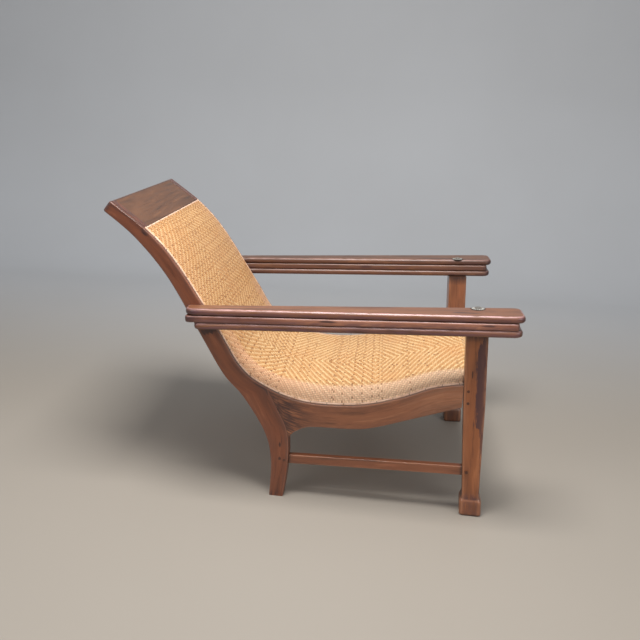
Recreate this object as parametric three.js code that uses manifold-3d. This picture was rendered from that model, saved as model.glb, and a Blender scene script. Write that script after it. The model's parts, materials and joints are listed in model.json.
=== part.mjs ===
// A planter's chair in teak with a hand-woven cane mat. Each arm is a stack of three boards: a fixed
// top, a fixed base, and between them a leaf that turns about a bolt above the front leg and swings
// out in front of the chair as a leg rest. Millimetres, Z up, the front of the chair towards -Y.

import * as THREE from 'three';
import { mergeVertices } from 'three/addons/utils/BufferGeometryUtils.js';
import Module from 'manifold-3d';

const wasm = await Module();
wasm.setup();

// Overall stance. The two side frames stand apart and open towards the front, and the arms, front
// legs and stretchers lean back together. Half widths are taken from the middle of the chair.
const heelHalfWidth = 341;
const splay = THREE.MathUtils.degToRad(2.9);
const lean = THREE.MathUtils.degToRad(3);

// Fits. Pieces that touch keep the small gap, and cutting tools run past the wood by the overrun.
const fit = 0.3;
const overrun = 5;

// Side frame, sawn from one thickness of plank. Runs go forward from the heel of the rear leg, and
// heights go up from the floor.
const plank = 38;
const stileTopHeight = 810;
const stileTopBack = 454;
const seatLowRun = 138;
const seatLowHeight = 286;
const seatFrontHeight = 379;
const stileDepth = 58;
const heelDepth = 39;
const shoulderHeight = 182;
const jointBack = 14;
const railDepth = 68;
const railTongueShares = [0.12, 0.8];

// Line of the lip: from its lowest point back up to the top, and forward to the front leg.
const backShares = [
  [1, 1], [0.822, 0.851], [0.684, 0.681], [0.496, 0.359],
  [0.392, 0.174], [0.284, 0.08], [0.093, 0.008],
];
const seatShares = [[0.23, 0.065], [0.517, 0.355], [0.794, 0.817], [1, 1]];

// Depth of the stile behind the lip, down from the top to the joint.
const stileDepthShares = [[0, 0.55], [0.17, 0.62], [0.39, 0.7], [0.65, 0.82], [0.84, 0.86], [0.94, 1]];

// Rear leg below the joint, by heel depth and shoulder height.
const rearLegFrontShares = [[1, 0], [1.18, 0.31], [1.31, 0.66], [1.26, 1]];
const rearLegBackShares = [[-0.44, 1.04], [0.05, 0.58], [0, 0]];
const jointLowShares = [1.08, 1.18];

// Underside of the seat rail, from the rear leg to the front leg, as its depth below the lip.
const railUnderShares = [[0.045, 1.31], [0.137, 1], [0.372, 1], [0.502, 1.02], [0.731, 1.05], [1, 0.93]];

// Seat surface: a wooden lip, a groove with a cane bead, and the mat, which rises from the groove
// towards the middle because it is pulled tight from head to front.
const lipWidth = 14;
const grooveWidth = 6;
const grooveDepth = 3;
const matThickness = 3.2;
const bedGap = 0.5;
const matRise = 22;
const riseWidth = 86;
const slopeHold = 6;
const crown = 8;
const riseShares = [
  [0, 0.1], [0.343, 0.14], [0.498, 0.41], [0.591, 0.9], [0.701, 1],
  [0.786, 0.77], [0.874, 0.55], [0.935, 0.5], [1, 0.12],
];
const noseReach = 46;
const noseDrop = 47;
const noseShares = [[0.52, 0.04], [0.957, -0.26], [1, -1]];

// Front leg, square, tapering to a block foot that is worked from the same wood.
const pivotRun = 535;
const legTopWidth = 58;
const legAnkleWidth = 46;
const legTaperStart = 330;
const legProud = 2;
const legClear = 2;
const ankleRise = 16;
const footWidth = 60;
const footShoulder = 48;
const footEase = 6;
const cornerEase = 2.5;
const footCornerEase = 8;

// Arm boards.
const board = 18.5;
const boardGap = 0.6;
const bullnose = 8;
const armTopHeight = 585;
const armInnerReach = 18;
const armFrontWidth = 101;
const armRearWidth = 54;
const armFront = 114;
const baseRearShort = 24;
const baseFrontShort = 5;
const leafShort = 15;
const leafRelief = 2;
const leafNose = 5;
const frontCorner = 26;
const rearCorner = 30;
const leafCorner = 14;
const leastCorner = 1;

// Pivot hardware.
const rosetteDiameter = 40;
const rosetteThickness = 3;
const rosetteSink = 1.8;
const rosetteShares = [[0, 0], [1, 0], [1, 0.5], [0.86, 0.85], [0.5, 1], [0, 1]];
const rosetteFlutes = 8;
const stepsPerFlute = 4;
const fluteDepth = 0.7;
const fluteStartShare = 0.7;
const fluteLevelShare = 0.6;
const boltDiameter = 12;
const boltHead = 17;
const boltHeadHeight = 2.6;
const boltSlot = 2;
const boltDepth = 62;
const boltPlay = 0.5;

// Cross pieces and stretchers.
const headPanelHeight = 115;
const headPanelThickness = 24;
const headPanelSetback = 1;
const frontRailThickness = 44;
const frontRailHeight = 57;
const rearRailThickness = 26;
const rearRailHeight = 58;
const rearRailDrop = 14;
const stretcherLevel = 113;
const stretcherHeight = 26;
const stretcherWidth = 20;
const stretcherSlope = THREE.MathUtils.degToRad(1.9);
const tenonThickness = 12;
const tenonShoulder = 5;
const tenonReach = 24;
const railTenonReach = 34;

// Pegs and screws.
const pegDiameter = 8;
const pegInset = 12;
const lowerPegDrop = 49;
const upperPegDrop = 15;
const pegDepth = 30;
const pegProud = 0.6;
const screwDiameter = 7;
const screwHead = 13;
const screwHeadDepth = 4;
const screwBite = 24;

// Mesh fineness.
const seatSteps = 36;
const edgeSteps = 26;
const underSteps = 20;
const rearLegSteps = 8;
const slopeSteps = 3;
const middleSteps = 2;
const panelSteps = 5;
const cornerSteps = 4;
const noseSteps = 3;
const beadSteps = 4;
const roundSides = 24;
const pegSides = 12;
const searchSteps = 30;

const teak = new THREE.MeshStandardMaterial({ color: 0x7a4429, roughness: 0.5, metalness: 0 });
const teakDark = new THREE.MeshStandardMaterial({ color: 0x5b3020, roughness: 0.55, metalness: 0 });
const teakArm = new THREE.MeshStandardMaterial({ color: 0x8a5a44, roughness: 0.45, metalness: 0 });
const cane = new THREE.MeshStandardMaterial({ color: 0xd9a866, roughness: 0.6, metalness: 0 });
const caneBead = new THREE.MeshStandardMaterial({ color: 0xe2bd8a, roughness: 0.55, metalness: 0 });
const brass = new THREE.MeshStandardMaterial({ color: 0xb9b2a0, roughness: 0.35, metalness: 0.9 });
const steel = new THREE.MeshStandardMaterial({ color: 0x8d8a86, roughness: 0.4, metalness: 0.9 });

// Numbers and points.

const between = (from, to, share) => from + (to - from) * share;
const stations = (from, to, steps) =>
  Array.from({ length: steps + 1 }, (_, i) => between(from, to, i / steps));
const asVectors = (pairs) => pairs.map(([x, y]) => new THREE.Vector2(x, y));
const smooth = (pairs, steps) => new THREE.SplineCurve(asVectors(pairs)).getSpacedPoints(steps);
const rectangle = (x0, x1, y0, y1) => asVectors([[x0, y0], [x1, y0], [x1, y1], [x0, y1]]);

// Share of a range at which a test turns false.
function shareWhere(test, from = 0, to = 1) {
  let [low, high] = [from, to];
  for (let i = 0; i < searchSteps; i++) {
    const middle = (low + high) / 2;
    [low, high] = test(middle) ? [middle, high] : [low, middle];
  }
  return low;
}

// Solids and booleans.

function flipped(geometry) {
  const index = geometry.index.array.slice();
  for (let i = 0; i < index.length; i += 3) {
    [index[i + 1], index[i + 2]] = [index[i + 2], index[i + 1]];
  }
  geometry.setIndex(new THREE.BufferAttribute(index, 1));
  return geometry;
}

function signedVolume(geometry) {
  const position = geometry.attributes.position;
  const index = geometry.index.array;
  const [a, b, c] = [new THREE.Vector3(), new THREE.Vector3(), new THREE.Vector3()];
  let sum = 0;
  for (let i = 0; i < index.length; i += 3) {
    a.fromBufferAttribute(position, index[i]);
    b.fromBufferAttribute(position, index[i + 1]);
    c.fromBufferAttribute(position, index[i + 2]);
    sum += a.dot(b.cross(c));
  }
  return sum;
}

function welded(geometry) {
  const bare = geometry.clone();
  bare.deleteAttribute('normal');
  bare.deleteAttribute('uv');
  const merged = mergeVertices(bare);
  return signedVolume(merged) < 0 ? flipped(merged) : merged;
}

function toSolid(geometry) {
  const merged = welded(geometry);
  return new wasm.Manifold(new wasm.Mesh({
    numProp: 3,
    vertProperties: new Float32Array(merged.attributes.position.array),
    triVerts: new Uint32Array(merged.index.array),
  }));
}

function fromSolid(solid) {
  const mesh = solid.getMesh();
  const geometry = new THREE.BufferGeometry();
  geometry.setAttribute('position', new THREE.BufferAttribute(mesh.vertProperties.slice(), 3));
  geometry.setIndex(new THREE.BufferAttribute(mesh.triVerts.slice(), 1));
  return geometry;
}

const joined = (...parts) => fromSolid(parts.map(toSolid).reduce((a, b) => a.add(b)));
const cut = (body, ...tools) =>
  fromSolid(tools.map(toSolid).reduce((a, b) => a.subtract(b), toSolid(body)));

// Closed skin over a row of sections. Each section is a loop of points on a plane, and place puts a
// point of section i in space.
function loft(sections, place) {
  const count = sections[0].length;
  const points = sections.flatMap((loop, i) => loop.map((p) => place(p, i)));
  const faces = [];
  for (let i = 0; i + 1 < sections.length; i++) {
    for (let j = 0; j < count; j++) {
      const k = (j + 1) % count;
      const [a, b, c, d] = [i * count + j, i * count + k, (i + 1) * count + k, (i + 1) * count + j];
      faces.push(a, b, c, a, c, d);
    }
  }
  const last = (sections.length - 1) * count;
  const clockwise = THREE.ShapeUtils.isClockWise(sections[0]);
  for (const [a, b, c] of THREE.ShapeUtils.triangulateShape(sections[0], [])) {
    faces.push(...(clockwise ? [a, b, c] : [c, b, a]));
  }
  for (const [a, b, c] of THREE.ShapeUtils.triangulateShape(sections.at(-1), [])) {
    faces.push(...(clockwise ? [last + c, last + b, last + a] : [last + a, last + b, last + c]));
  }
  const geometry = new THREE.BufferGeometry().setFromPoints(points);
  geometry.setIndex(faces);
  return welded(geometry);
}

// Round bar between two points.
function bar(from, to, diameter, sides = pegSides) {
  const length = from.distanceTo(to);
  const geometry = new THREE.CylinderGeometry(diameter / 2, diameter / 2, length, sides);
  geometry.translate(0, length / 2, 0);
  const turn = new THREE.Quaternion().setFromUnitVectors(
    new THREE.Vector3(0, 1, 0), to.clone().sub(from).normalize());
  geometry.applyQuaternion(turn);
  return geometry.translate(from.x, from.y, from.z);
}

// Places. The side frame on the sitter's right is worked out, and the other is its mirror image.

const forward = new THREE.Vector3(-Math.sin(splay), -Math.cos(splay), 0);
const inward = new THREE.Vector3(Math.cos(splay), -Math.sin(splay), 0);
const up = new THREE.Vector3(0, 0, 1);
const heel = new THREE.Vector3(-heelHalfWidth, 0, 0);

// A point by its run forward from the heel, its depth in from the outer face and its height.
function onFrame(run, depth, height) {
  const onFace = heel.clone().addScaledVector(forward, run);
  return onFace.addScaledVector(inward, depth).addScaledVector(up, height);
}

// Half width of the chair over the outer faces, at a run along the frame.
const halfWidth = (run) => heelHalfWidth + run * Math.sin(splay);

// A point by its run along the frame's outer face, its distance across from the middle and its height.
const across = (run, x, height) => new THREE.Vector3(x, -run * Math.cos(splay), height);

// Solid of a flat outline on the side frame, from a depth in from the outer face.
function sideBoard(outline, depth, thickness) {
  const straight = { depth: thickness, bevelEnabled: false };
  const geometry = new THREE.ExtrudeGeometry(new THREE.Shape(outline), straight);
  const basis = new THREE.Matrix4().makeBasis(forward, up, inward.clone().negate());
  basis.setPosition(heel.clone().addScaledVector(inward, depth + thickness));
  return geometry.applyMatrix4(basis);
}

// Piece across the chair. Its profile is drawn in run and height, and its ends stand in from the
// outer faces by the inset.
function crossPiece(profile, inset) {
  const reach = (run) => halfWidth(run) - inset / Math.cos(splay);
  return loft([profile, profile], (p, i) => across(p.x, i ? reach(p.x) : -reach(p.x), p.y));
}

const mirrored = (geometry) => flipped(geometry.clone().scale(-1, 1, 1));

// Front leg's middle line and width. The leg leans back towards the top.

const ankleHeight = footShoulder + ankleRise;
const legRun = (height) => pivotRun + (armTopHeight - height) * Math.tan(lean);
const legBack = (height) => legRun(height) - legWidthAt(height) / 2;
const legCentreDepth = legTopWidth / 2 - legProud;
const legInner = legTopWidth - legProud;

function legWidthAt(height) {
  const share = THREE.MathUtils.clamp((legTaperStart - height) / (legTaperStart - ankleHeight), 0, 1);
  return between(legTopWidth, legAnkleWidth, share);
}

// Seat line. It follows the lip down the back and along the seat, and goes on over the front rail.

const seatFront = legBack(seatFrontHeight) - fit;
const seatCurve = new THREE.SplineCurve(asVectors([
  ...backShares.map(([run, height]) => [
    between(seatLowRun, -stileTopBack, run), between(seatLowHeight, stileTopHeight, height)]),
  ...seatShares.map(([run, height]) => [
    between(seatLowRun, seatFront, run), between(seatLowHeight, seatFrontHeight, height)]),
  ...noseShares.map(([run, height]) => [seatFront + noseReach * run, seatFrontHeight + noseDrop * height]),
]));
const seatLength = seatCurve.getLength();
const seatRows = stations(0, 1, seatSteps).map((station) => {
  const tangent = seatCurve.getTangentAt(station);
  return { point: seatCurve.getPointAt(station), normal: new THREE.Vector2(-tangent.y, tangent.x) };
});

// Place at a share of the seat line, lifted square to it. It is straight between the rows and
// beyond the ends, so that wood and cane meet on the same facets.
function seatPlace(station, lift = 0) {
  const row = THREE.MathUtils.clamp(Math.floor(station * seatSteps), 0, seatSteps - 1);
  const share = station * seatSteps - row;
  const [a, b] = [seatRows[row], seatRows[row + 1]];
  return a.point.clone().lerp(b.point, share).addScaledVector(a.normal.clone().lerp(b.normal, share), lift);
}

// The same place in space, at a distance across from the middle.
function overSeat(station, x, lift) {
  const place = seatPlace(station, lift);
  return across(place.x, x, place.y);
}

const stationAt = (run) => shareWhere((station) => seatPlace(station).x < run);
const edgeAt = (station) => halfWidth(seatPlace(station).x);
const along = (length) => length / seatLength;

// Rows of the seat line from one share to another, with both ends.
function rowsBetween(from, to) {
  const inside = (row) => row > from + along(fit) && row < to - along(fit);
  const shared = stations(0, 1, seatSteps).filter(inside);
  return [from, ...shared, to];
}

const frontShare = stationAt(seatFront);
const jointShare = stationAt(-jointBack);
const headShare = along(headPanelHeight);

// Height of the mat's underside over the seat line, at a distance in from the outer face. The slope
// from the groove is nearly straight and turns over at its inner end.
function matLift(station, inset) {
  const next = riseShares.findIndex(([at]) => at >= station);
  const [[a, low], [b, high]] = [riseShares[Math.max(next - 1, 0)], riseShares.at(next)];
  const rise = matRise * between(low, high, THREE.MathUtils.smoothstep(station, a, b));
  const slope = THREE.MathUtils.clamp((inset - bedStart) / riseWidth, 0, 1);
  const middle = Math.sin(Math.min(inset / edgeAt(station), 1) * Math.PI / 2);
  const turned = slope * (slopeHold + 1 - slope ** slopeHold) / slopeHold;
  return rise * turned + crown * middle * middle * rise / matRise;
}

const bedStart = lipWidth + grooveWidth;
const bedInsets = [(bedStart + plank) / 2, plank];

// Stock that the side frame is sawn with above the lip, where the mat's bed rises.
const stockAbove = matRise;

// The room that the seat takes away from a side frame: lip, groove and the bed of the mat.
function seatRoom() {
  const rows = rowsBetween(along(-overrun), frontShare + along(stockAbove));
  const sections = rows.map((row) => {
    const insets = [bedStart, ...bedInsets, plank + overrun];
    const bed = insets.map((inset) => [inset, matLift(row, inset) - bedGap]);
    return asVectors([
      [-overrun, 0], [lipWidth, 0], [lipWidth, -grooveDepth], [bedStart, -grooveDepth], ...bed,
      [plank + overrun, 2 * stockAbove], [-overrun, 2 * stockAbove],
    ]);
  });
  return loft(sections, (p, i) => overSeat(rows[i], p.x - edgeAt(rows[i]), p.y));
}

// Joint between stile and seat rail: a slanting shoulder from the lip down to the rear leg's front.

const jointHigh = seatPlace(jointShare);
const jointLow = new THREE.Vector2(heelDepth * jointLowShares[0], shoulderHeight * jointLowShares[1]);
const jointAlong = jointHigh.clone().sub(jointLow);
const jointBackwards = new THREE.Vector2(-jointAlong.y, jointAlong.x).normalize();
const rearLegFront = new THREE.SplineCurve(asVectors(
  rearLegFrontShares.map(([run, height]) => [heelDepth * run, shoulderHeight * height])));
const backEdge = new THREE.SplineCurve([
  ...stileDepthShares.map(([share, depth]) => seatPlace(jointShare * share, -stileDepth * depth)),
  ...asVectors(rearLegBackShares.map(([run, height]) => [heelDepth * run, shoulderHeight * height])),
]);
const tenonDepth = (plank - tenonThickness) / 2;

function railRearTenon(clear) {
  const shoulder = jointLow.clone().addScaledVector(jointBackwards, -fit - tenonShoulder);
  const [low, high] = railTongueShares.map((share) => shoulder.clone().addScaledVector(jointAlong, share));
  const reach = tenonReach + tenonShoulder + clear;
  const ends = [high, low].map((corner) => corner.clone().addScaledVector(jointBackwards, reach));
  const outline = [low, high, ...ends];
  return sideBoard(outline, tenonDepth - clear, tenonThickness + 2 * clear);
}

function railFrontTenon(clear) {
  const low = seatFrontHeight - lowerPegDrop - pegDiameter;
  const high = seatFrontHeight - upperPegDrop + pegDiameter;
  const outline = rectangle(
    legBack(low) - 2 * tenonShoulder, legBack(low) + railTenonReach + clear, low - clear, high + clear);
  return sideBoard(outline, tenonDepth - clear, tenonThickness + 2 * clear);
}

// Stretcher between rear leg and front leg, rising a little to the front.

const rearLegFrontRun = (height) => rearLegFront.getPointAt(
  shareWhere((share) => rearLegFront.getPointAt(share).y < height)).x;
const stretcherBack = Math.max(...[-1, 0, 1].map(
  (side) => rearLegFrontRun(stretcherLevel + side * stretcherHeight / 2))) + fit;
const stretcherLevelAt = (run) => stretcherLevel + (run - stretcherBack) * Math.tan(stretcherSlope);
const [stretcherFrontLow, stretcherFront] = [-1, 1].map(
  (side) => legBack(stretcherLevelAt(pivotRun) + side * stretcherHeight / 2) - fit);

// Length of the stretcher's stock. The lower edge may end further forward than the upper one.
function stretcherBlock(from, to, height, width, toLow = to) {
  const outline = asVectors([
    [from, stretcherLevelAt(from) - height / 2], [toLow, stretcherLevelAt(toLow) - height / 2],
    [to, stretcherLevelAt(to) + height / 2], [from, stretcherLevelAt(from) + height / 2],
  ]);
  return sideBoard(outline, (plank - width) / 2, width);
}

function stretcherTenons(clear) {
  const height = stretcherHeight - 2 * tenonShoulder + 2 * clear;
  const width = tenonThickness + 2 * clear;
  const reach = tenonReach + clear;
  return [
    stretcherBlock(stretcherBack - reach, stretcherBack + overrun, height, width),
    stretcherBlock(stretcherFront - overrun, stretcherFront + reach, height, width),
  ];
}

// Pegs through the tongues, as places on the outer face.

const railPegs = [lowerPegDrop, upperPegDrop].map((drop) => {
  const height = seatFrontHeight - drop;
  return [legBack(height) + pegInset, height];
});
const stretcherFrontPeg = [stretcherFront + pegInset, stretcherLevelAt(stretcherFront + pegInset)];
const stretcherRearPeg = [stretcherBack - pegInset, stretcherLevelAt(stretcherBack - pegInset)];

const peg = ([run, height], face) =>
  bar(onFrame(run, face - pegProud, height), onFrame(run, face + pegDepth, height), pegDiameter);
const pegHole = ([run, height], face) =>
  bar(
    onFrame(run, face - overrun, height), onFrame(run, face + pegDepth + fit, height),
    pegDiameter + 2 * fit);

// Profiles of the cross pieces.

// Strip along the seat line, between two shares and two lifts.
function strip(from, to, bottom, top) {
  const rows = stations(from, to, panelSteps);
  const line = (level) => rows.map((row) => seatPlace(row, level));
  return [...line(bottom), ...line(top).reverse()];
}

const headPanelBody = strip(along(headPanelSetback), headShare - along(fit), -headPanelThickness, 0);
const headPanelTenon = (clear) => strip(
  along(2 * tenonShoulder - clear), headShare - along(2 * tenonShoulder - clear),
  tenonShoulder - headPanelThickness - clear, clear - tenonShoulder);

// Groove across the stiles for the bead along the lower edge of the head panel.
const headGroove = strip(headShare, headShare + along(grooveWidth), -grooveDepth, stockAbove);

const rearRailTop = seatLowHeight - rearRailDrop;
const rearRailFront = between(
  jointLow.x, jointHigh.x, (rearRailTop - jointLow.y) / (jointHigh.y - jointLow.y));
const rearRail = (inset) => rectangle(
  rearRailFront - rearRailThickness + inset, rearRailFront - inset,
  rearRailTop - rearRailHeight + inset, rearRailTop - inset);

const frontRailBack = seatFront + fit + tenonShoulder;
const frontRail = rectangle(
  frontRailBack, frontRailBack + frontRailThickness,
  seatFrontHeight - frontRailHeight, seatFrontHeight + stockAbove);
const frontRailTenon = (clear) => rectangle(
  frontRailBack + tenonShoulder - clear, frontRailBack + tenonShoulder + tenonThickness + clear,
  seatFrontHeight - frontRailHeight + tenonShoulder - clear, seatFrontHeight - 2 * tenonShoulder + clear);

// Cross piece with a tongue at each end. The shoulders meet a face at one inset from the outer
// faces, and the tongues reach in beyond it.
function tongued(body, tenon, face) {
  return joined(crossPiece(body, face + fit), crossPiece(tenon(0), face - tenonReach / 2 + fit));
}

const mortise = (tenon, face) => crossPiece(tenon(fit), face - tenonReach / 2);

// Arm boards. In plan, x is forward from the pivot and y is out from the middle of the chair, and
// down goes through the layers from the top face.

const pivotPoint = onFrame(pivotRun, legCentreDepth, armTopHeight);
const pivotOut = -pivotPoint.x;
const armForward = new THREE.Vector3(0, -Math.cos(lean), Math.sin(lean));
const armOut = new THREE.Vector3(-1, 0, 0);
const armDown = armForward.clone().cross(armOut);
const layerPitch = board + boardGap;
const stack = 2 * layerPitch + board;

function onArm(x, out, down) {
  return pivotPoint.clone().addScaledVector(armForward, x).addScaledVector(armOut, out - pivotOut)
    .addScaledVector(armDown, down);
}

// Place along the arm over a run of the side frame, and the frame's outer face at such a place.
const armPlaceAt = (run, down) =>
  (pivotPoint.y + run * Math.cos(splay) - down * Math.sin(lean)) / Math.cos(lean);
const frameOutAt = (x, down) =>
  halfWidth((x * Math.cos(lean) + down * Math.sin(lean) - pivotPoint.y) / Math.cos(splay));

// Height of a layer over a run, and the run at which an edge of the stile passes through it.
const armHeightAt = (run, down) =>
  armTopHeight + (pivotPoint.y + run * Math.cos(splay)) * Math.tan(lean) - down / Math.cos(lean);

function edgeRun(placeAt, down) {
  const above = (share) => placeAt(share).y > armHeightAt(placeAt(share).x, down);
  return placeAt(shareWhere(above)).x;
}

const stileBackRun = (down) => edgeRun((share) => backEdge.getPointAt(share), down);
const stileFrontRun = (down) => edgeRun((share) => seatPlace(share * jointShare), down);
const armRear = -armPlaceAt(stileBackRun(stack / 2), stack / 2);
const armBend = armPlaceAt(stileFrontRun(stack), stack) + overrun;

// Corners of a board in plan, each with its rounding radius. The inner edge lies along the stile
// and then runs straight to the front.
function armCorners(layer, rear, front, relief, rearRadius, frontRadius) {
  const down = layer * layerPitch + board;
  const outerRear = frameOutAt(-armRear, 0) + armRearWidth;
  const innerFront = pivotOut - armInnerReach;
  const outerAt = (x) =>
    between(outerRear, innerFront + armFrontWidth, (x + armRear) / (armFront + armRear));
  const softened = bullnose + leastCorner;
  return [
    [-rear, frameOutAt(-rear, down) + fit + relief, softened],
    [-rear, outerAt(-rear), rearRadius],
    [front, outerAt(front), frontRadius],
    [front, innerFront, frontRadius],
    [armBend, frameOutAt(armBend, down) + fit + relief, softened],
  ];
}

function roundedOutline(corners) {
  const path = new THREE.Path();
  corners.forEach(([x, y, radius], i) => {
    const corner = new THREE.Vector2(x, y);
    const before = new THREE.Vector2(...corners.at(i - 1));
    const after = new THREE.Vector2(...corners[(i + 1) % corners.length]);
    const enter = corner.clone().add(before.sub(corner).setLength(radius));
    const leave = corner.clone().add(after.sub(corner).setLength(radius));
    if (i) {
      path.lineTo(enter.x, enter.y);
    } else {
      path.moveTo(enter.x, enter.y);
    }
    path.quadraticCurveTo(x, y, leave.x, leave.y);
  });
  return path.getPoints(cornerSteps);
}

// Corners moved in from the edges, each with its radius made smaller to suit.
function insetCorners(corners, distance) {
  return corners.map(([x, y, radius], i) => {
    const here = new THREE.Vector2(x, y);
    const before = new THREE.Vector2(...corners.at(i - 1));
    const after = new THREE.Vector2(...corners[(i + 1) % corners.length]);
    const enter = here.clone().sub(before).normalize();
    const leave = after.sub(here).normalize();
    const diagonal = new THREE.Vector2(enter.y + leave.y, -enter.x - leave.x);
    here.addScaledVector(diagonal, distance / (1 + enter.dot(leave)));
    return [here.x, here.y, Math.max(radius - distance, leastCorner)];
  });
}

// Board with a bullnose all round, in one of the three layers of the arm.
function armBoard(layer, corners, nose = bullnose) {
  const rings = stations(0, Math.PI / 2, noseSteps).map(
    (turn) => [nose * (1 - Math.sin(turn)), nose * (1 - Math.cos(turn))]);
  const rows = [...rings, ...rings.map(([inset, depth]) => [inset, board - depth]).reverse()];
  const sections = rows.map(([inset]) => roundedOutline(insetCorners(corners, inset)));
  return loft(sections, (p, i) => onArm(p.x, p.y, layer * layerPitch + rows[i][1]));
}

const pivotTool = (diameter, from, to) =>
  bar(onArm(0, pivotOut, from), onArm(0, pivotOut, to), diameter, roundSides);
const boltBore = () => pivotTool(boltDiameter + 2 * boltPlay, -overrun, stack + overrun);

// Screws from the inner face of the stile into the two fixed boards.
function armScrews(clear) {
  return [0, 2].map((layer) => {
    const down = layer * layerPitch + board / 2;
    const x = armPlaceAt((stileBackRun(down) + stileFrontRun(down)) / 2, down);
    const face = frameOutAt(x, down);
    const tip = onArm(x, face + screwBite + clear, down);
    const seat = onArm(x, face - plank / Math.cos(splay), down);
    const drive = tip.clone().sub(seat).normalize();
    const start = seat.clone().addScaledVector(drive, clear ? -overrun : 0);
    const sunk = seat.clone().addScaledVector(drive, screwHeadDepth + clear);
    return joined(bar(start, tip, screwDiameter + 2 * clear), bar(start, sunk, screwHead + 2 * clear));
  });
}

// Sub-parts of the side frame.

const seatCut = seatRoom();

// Top of the side frame's stock, standing above the lip from one share to another.
const stockLine = (from, to) => rowsBetween(from, to).map((row) => seatPlace(row, stockAbove));

function stile() {
  const outline = [
    ...stockLine(0, jointShare), jointHigh, jointLow,
    ...rearLegFront.getSpacedPoints(rearLegSteps).reverse(),
    ...backEdge.getSpacedPoints(edgeSteps).reverse(),
  ];
  return cut(
    sideBoard(outline, 0, plank), seatCut, railRearTenon(fit), stretcherTenons(fit)[0],
    pegHole(stretcherRearPeg, 0), mortise(headPanelTenon, plank), crossPiece(headGroove, bedStart),
    mortise((clear) => rearRail(tenonShoulder - clear), plank), ...armScrews(fit),
  );
}

function seatRail() {
  const clear = jointBackwards.clone().multiplyScalar(-fit);
  const bracket = rearLegFront.getPoint(1).add(new THREE.Vector2(2 * fit, 0));
  const under = railUnderShares.map(([share, depth]) => {
    const run = between(bracket.x, seatFront, share);
    return [run, seatPlace(stationAt(run)).y - railDepth * depth];
  });
  const top = stockLine(jointShare, frontShare).slice(1);
  const high = seatFrontHeight + stockAbove;
  const outline = [
    jointHigh.clone().add(clear), ...top.filter((p) => p.x < legBack(high) - fit),
    new THREE.Vector2(legBack(high) - fit, high),
    ...smooth([bracket.toArray(), ...under], underSteps).reverse(), jointLow.clone().add(clear),
  ];
  const body = cut(sideBoard(outline, 0, plank), seatCut);
  const holes = railPegs.map((place) => pegHole(place, -legProud));
  return cut(joined(body, railRearTenon(0), railFrontTenon(0)), ...holes);
}

function square(width, ease) {
  const half = width / 2;
  const flat = half - ease;
  return asVectors([
    [-flat, -half], [flat, -half], [half, -flat], [half, flat],
    [flat, half], [-flat, half], [-half, flat], [-half, -flat],
  ]);
}

function frontLeg() {
  const top = armTopHeight - stack / Math.cos(lean) - fit;
  const rows = [
    [top, legTopWidth, cornerEase],
    [legTaperStart, legTopWidth, cornerEase],
    [ankleHeight, legAnkleWidth, cornerEase],
    [footShoulder, footWidth - footEase, footCornerEase],
    [footShoulder - footEase, footWidth, footCornerEase],
    [footEase, footWidth, footCornerEase],
    [0, footWidth - footEase, footCornerEase],
  ];
  const body = loft(rows.map(([, width, ease]) => square(width, ease)), (p, i) => {
    const slant = i === 0 ? p.x * Math.tan(lean) : 0;
    return onFrame(legRun(rows[i][0]) + p.x, legCentreDepth + p.y, rows[i][0] + slant);
  });
  const pegHoles = [...railPegs, stretcherFrontPeg].map((place) => pegHole(place, -legProud));
  return cut(
    body, ...pegHoles, railFrontTenon(fit), stretcherTenons(fit)[1], mortise(frontRailTenon, legInner),
    pivotTool(boltDiameter + 2 * fit, stack - overrun, stack + boltDepth + fit),
  );
}

function sideStretcher() {
  const body = stretcherBlock(
    stretcherBack, stretcherFront, stretcherHeight, stretcherWidth, stretcherFrontLow);
  const holes = [pegHole(stretcherRearPeg, 0), pegHole(stretcherFrontPeg, -legProud)];
  return cut(joined(body, ...stretcherTenons(0)), ...holes);
}

// Sub-parts of the arm.

function armTop() {
  const recess = pivotTool(rosetteDiameter + 2 * fit, -overrun, rosetteSink);
  const corners = armCorners(0, armRear, armFront, 0, rearCorner, frontCorner);
  return cut(armBoard(0, corners), recess, boltBore(), ...armScrews(fit));
}

function leaf() {
  const corners = armCorners(1, armRear, armFront - leafShort, leafRelief, leafCorner, leafCorner);
  return cut(armBoard(1, corners, leafNose), boltBore());
}

function armBase() {
  const corners = armCorners(
    2, armRear - baseRearShort, armFront - baseFrontShort, 0, leafCorner, frontCorner);
  return cut(armBoard(2, corners), boltBore(), ...armScrews(fit));
}

// Round escutcheon with scooped flutes.
function rosette() {
  const radius = rosetteDiameter / 2;
  const profile = asVectors(rosetteShares.map(([out, level]) => [radius * out, rosetteThickness * level]));
  const disc = new THREE.LatheGeometry(profile, rosetteFlutes * stepsPerFlute);
  disc.rotateX(Math.PI / 2);
  const position = disc.attributes.position;
  for (let i = 0; i < position.count; i++) {
    const [x, y, z] = [position.getX(i), position.getY(i), position.getZ(i)];
    const scooped = z > rosetteThickness * fluteLevelShare && Math.hypot(x, y) > radius * fluteStartShare;
    const flute = (1 - Math.cos(Math.atan2(y, x) * rosetteFlutes)) / 2;
    position.setZ(i, z - (scooped ? fluteDepth * flute : 0));
  }
  const basis = new THREE.Matrix4().makeBasis(
    armForward, armOut.clone().negate(), armDown.clone().negate());
  basis.setPosition(onArm(0, pivotOut, rosetteSink - fit));
  return cut(disc.applyMatrix4(basis), pivotTool(boltDiameter + 2 * fit, -stack, stack));
}

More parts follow.
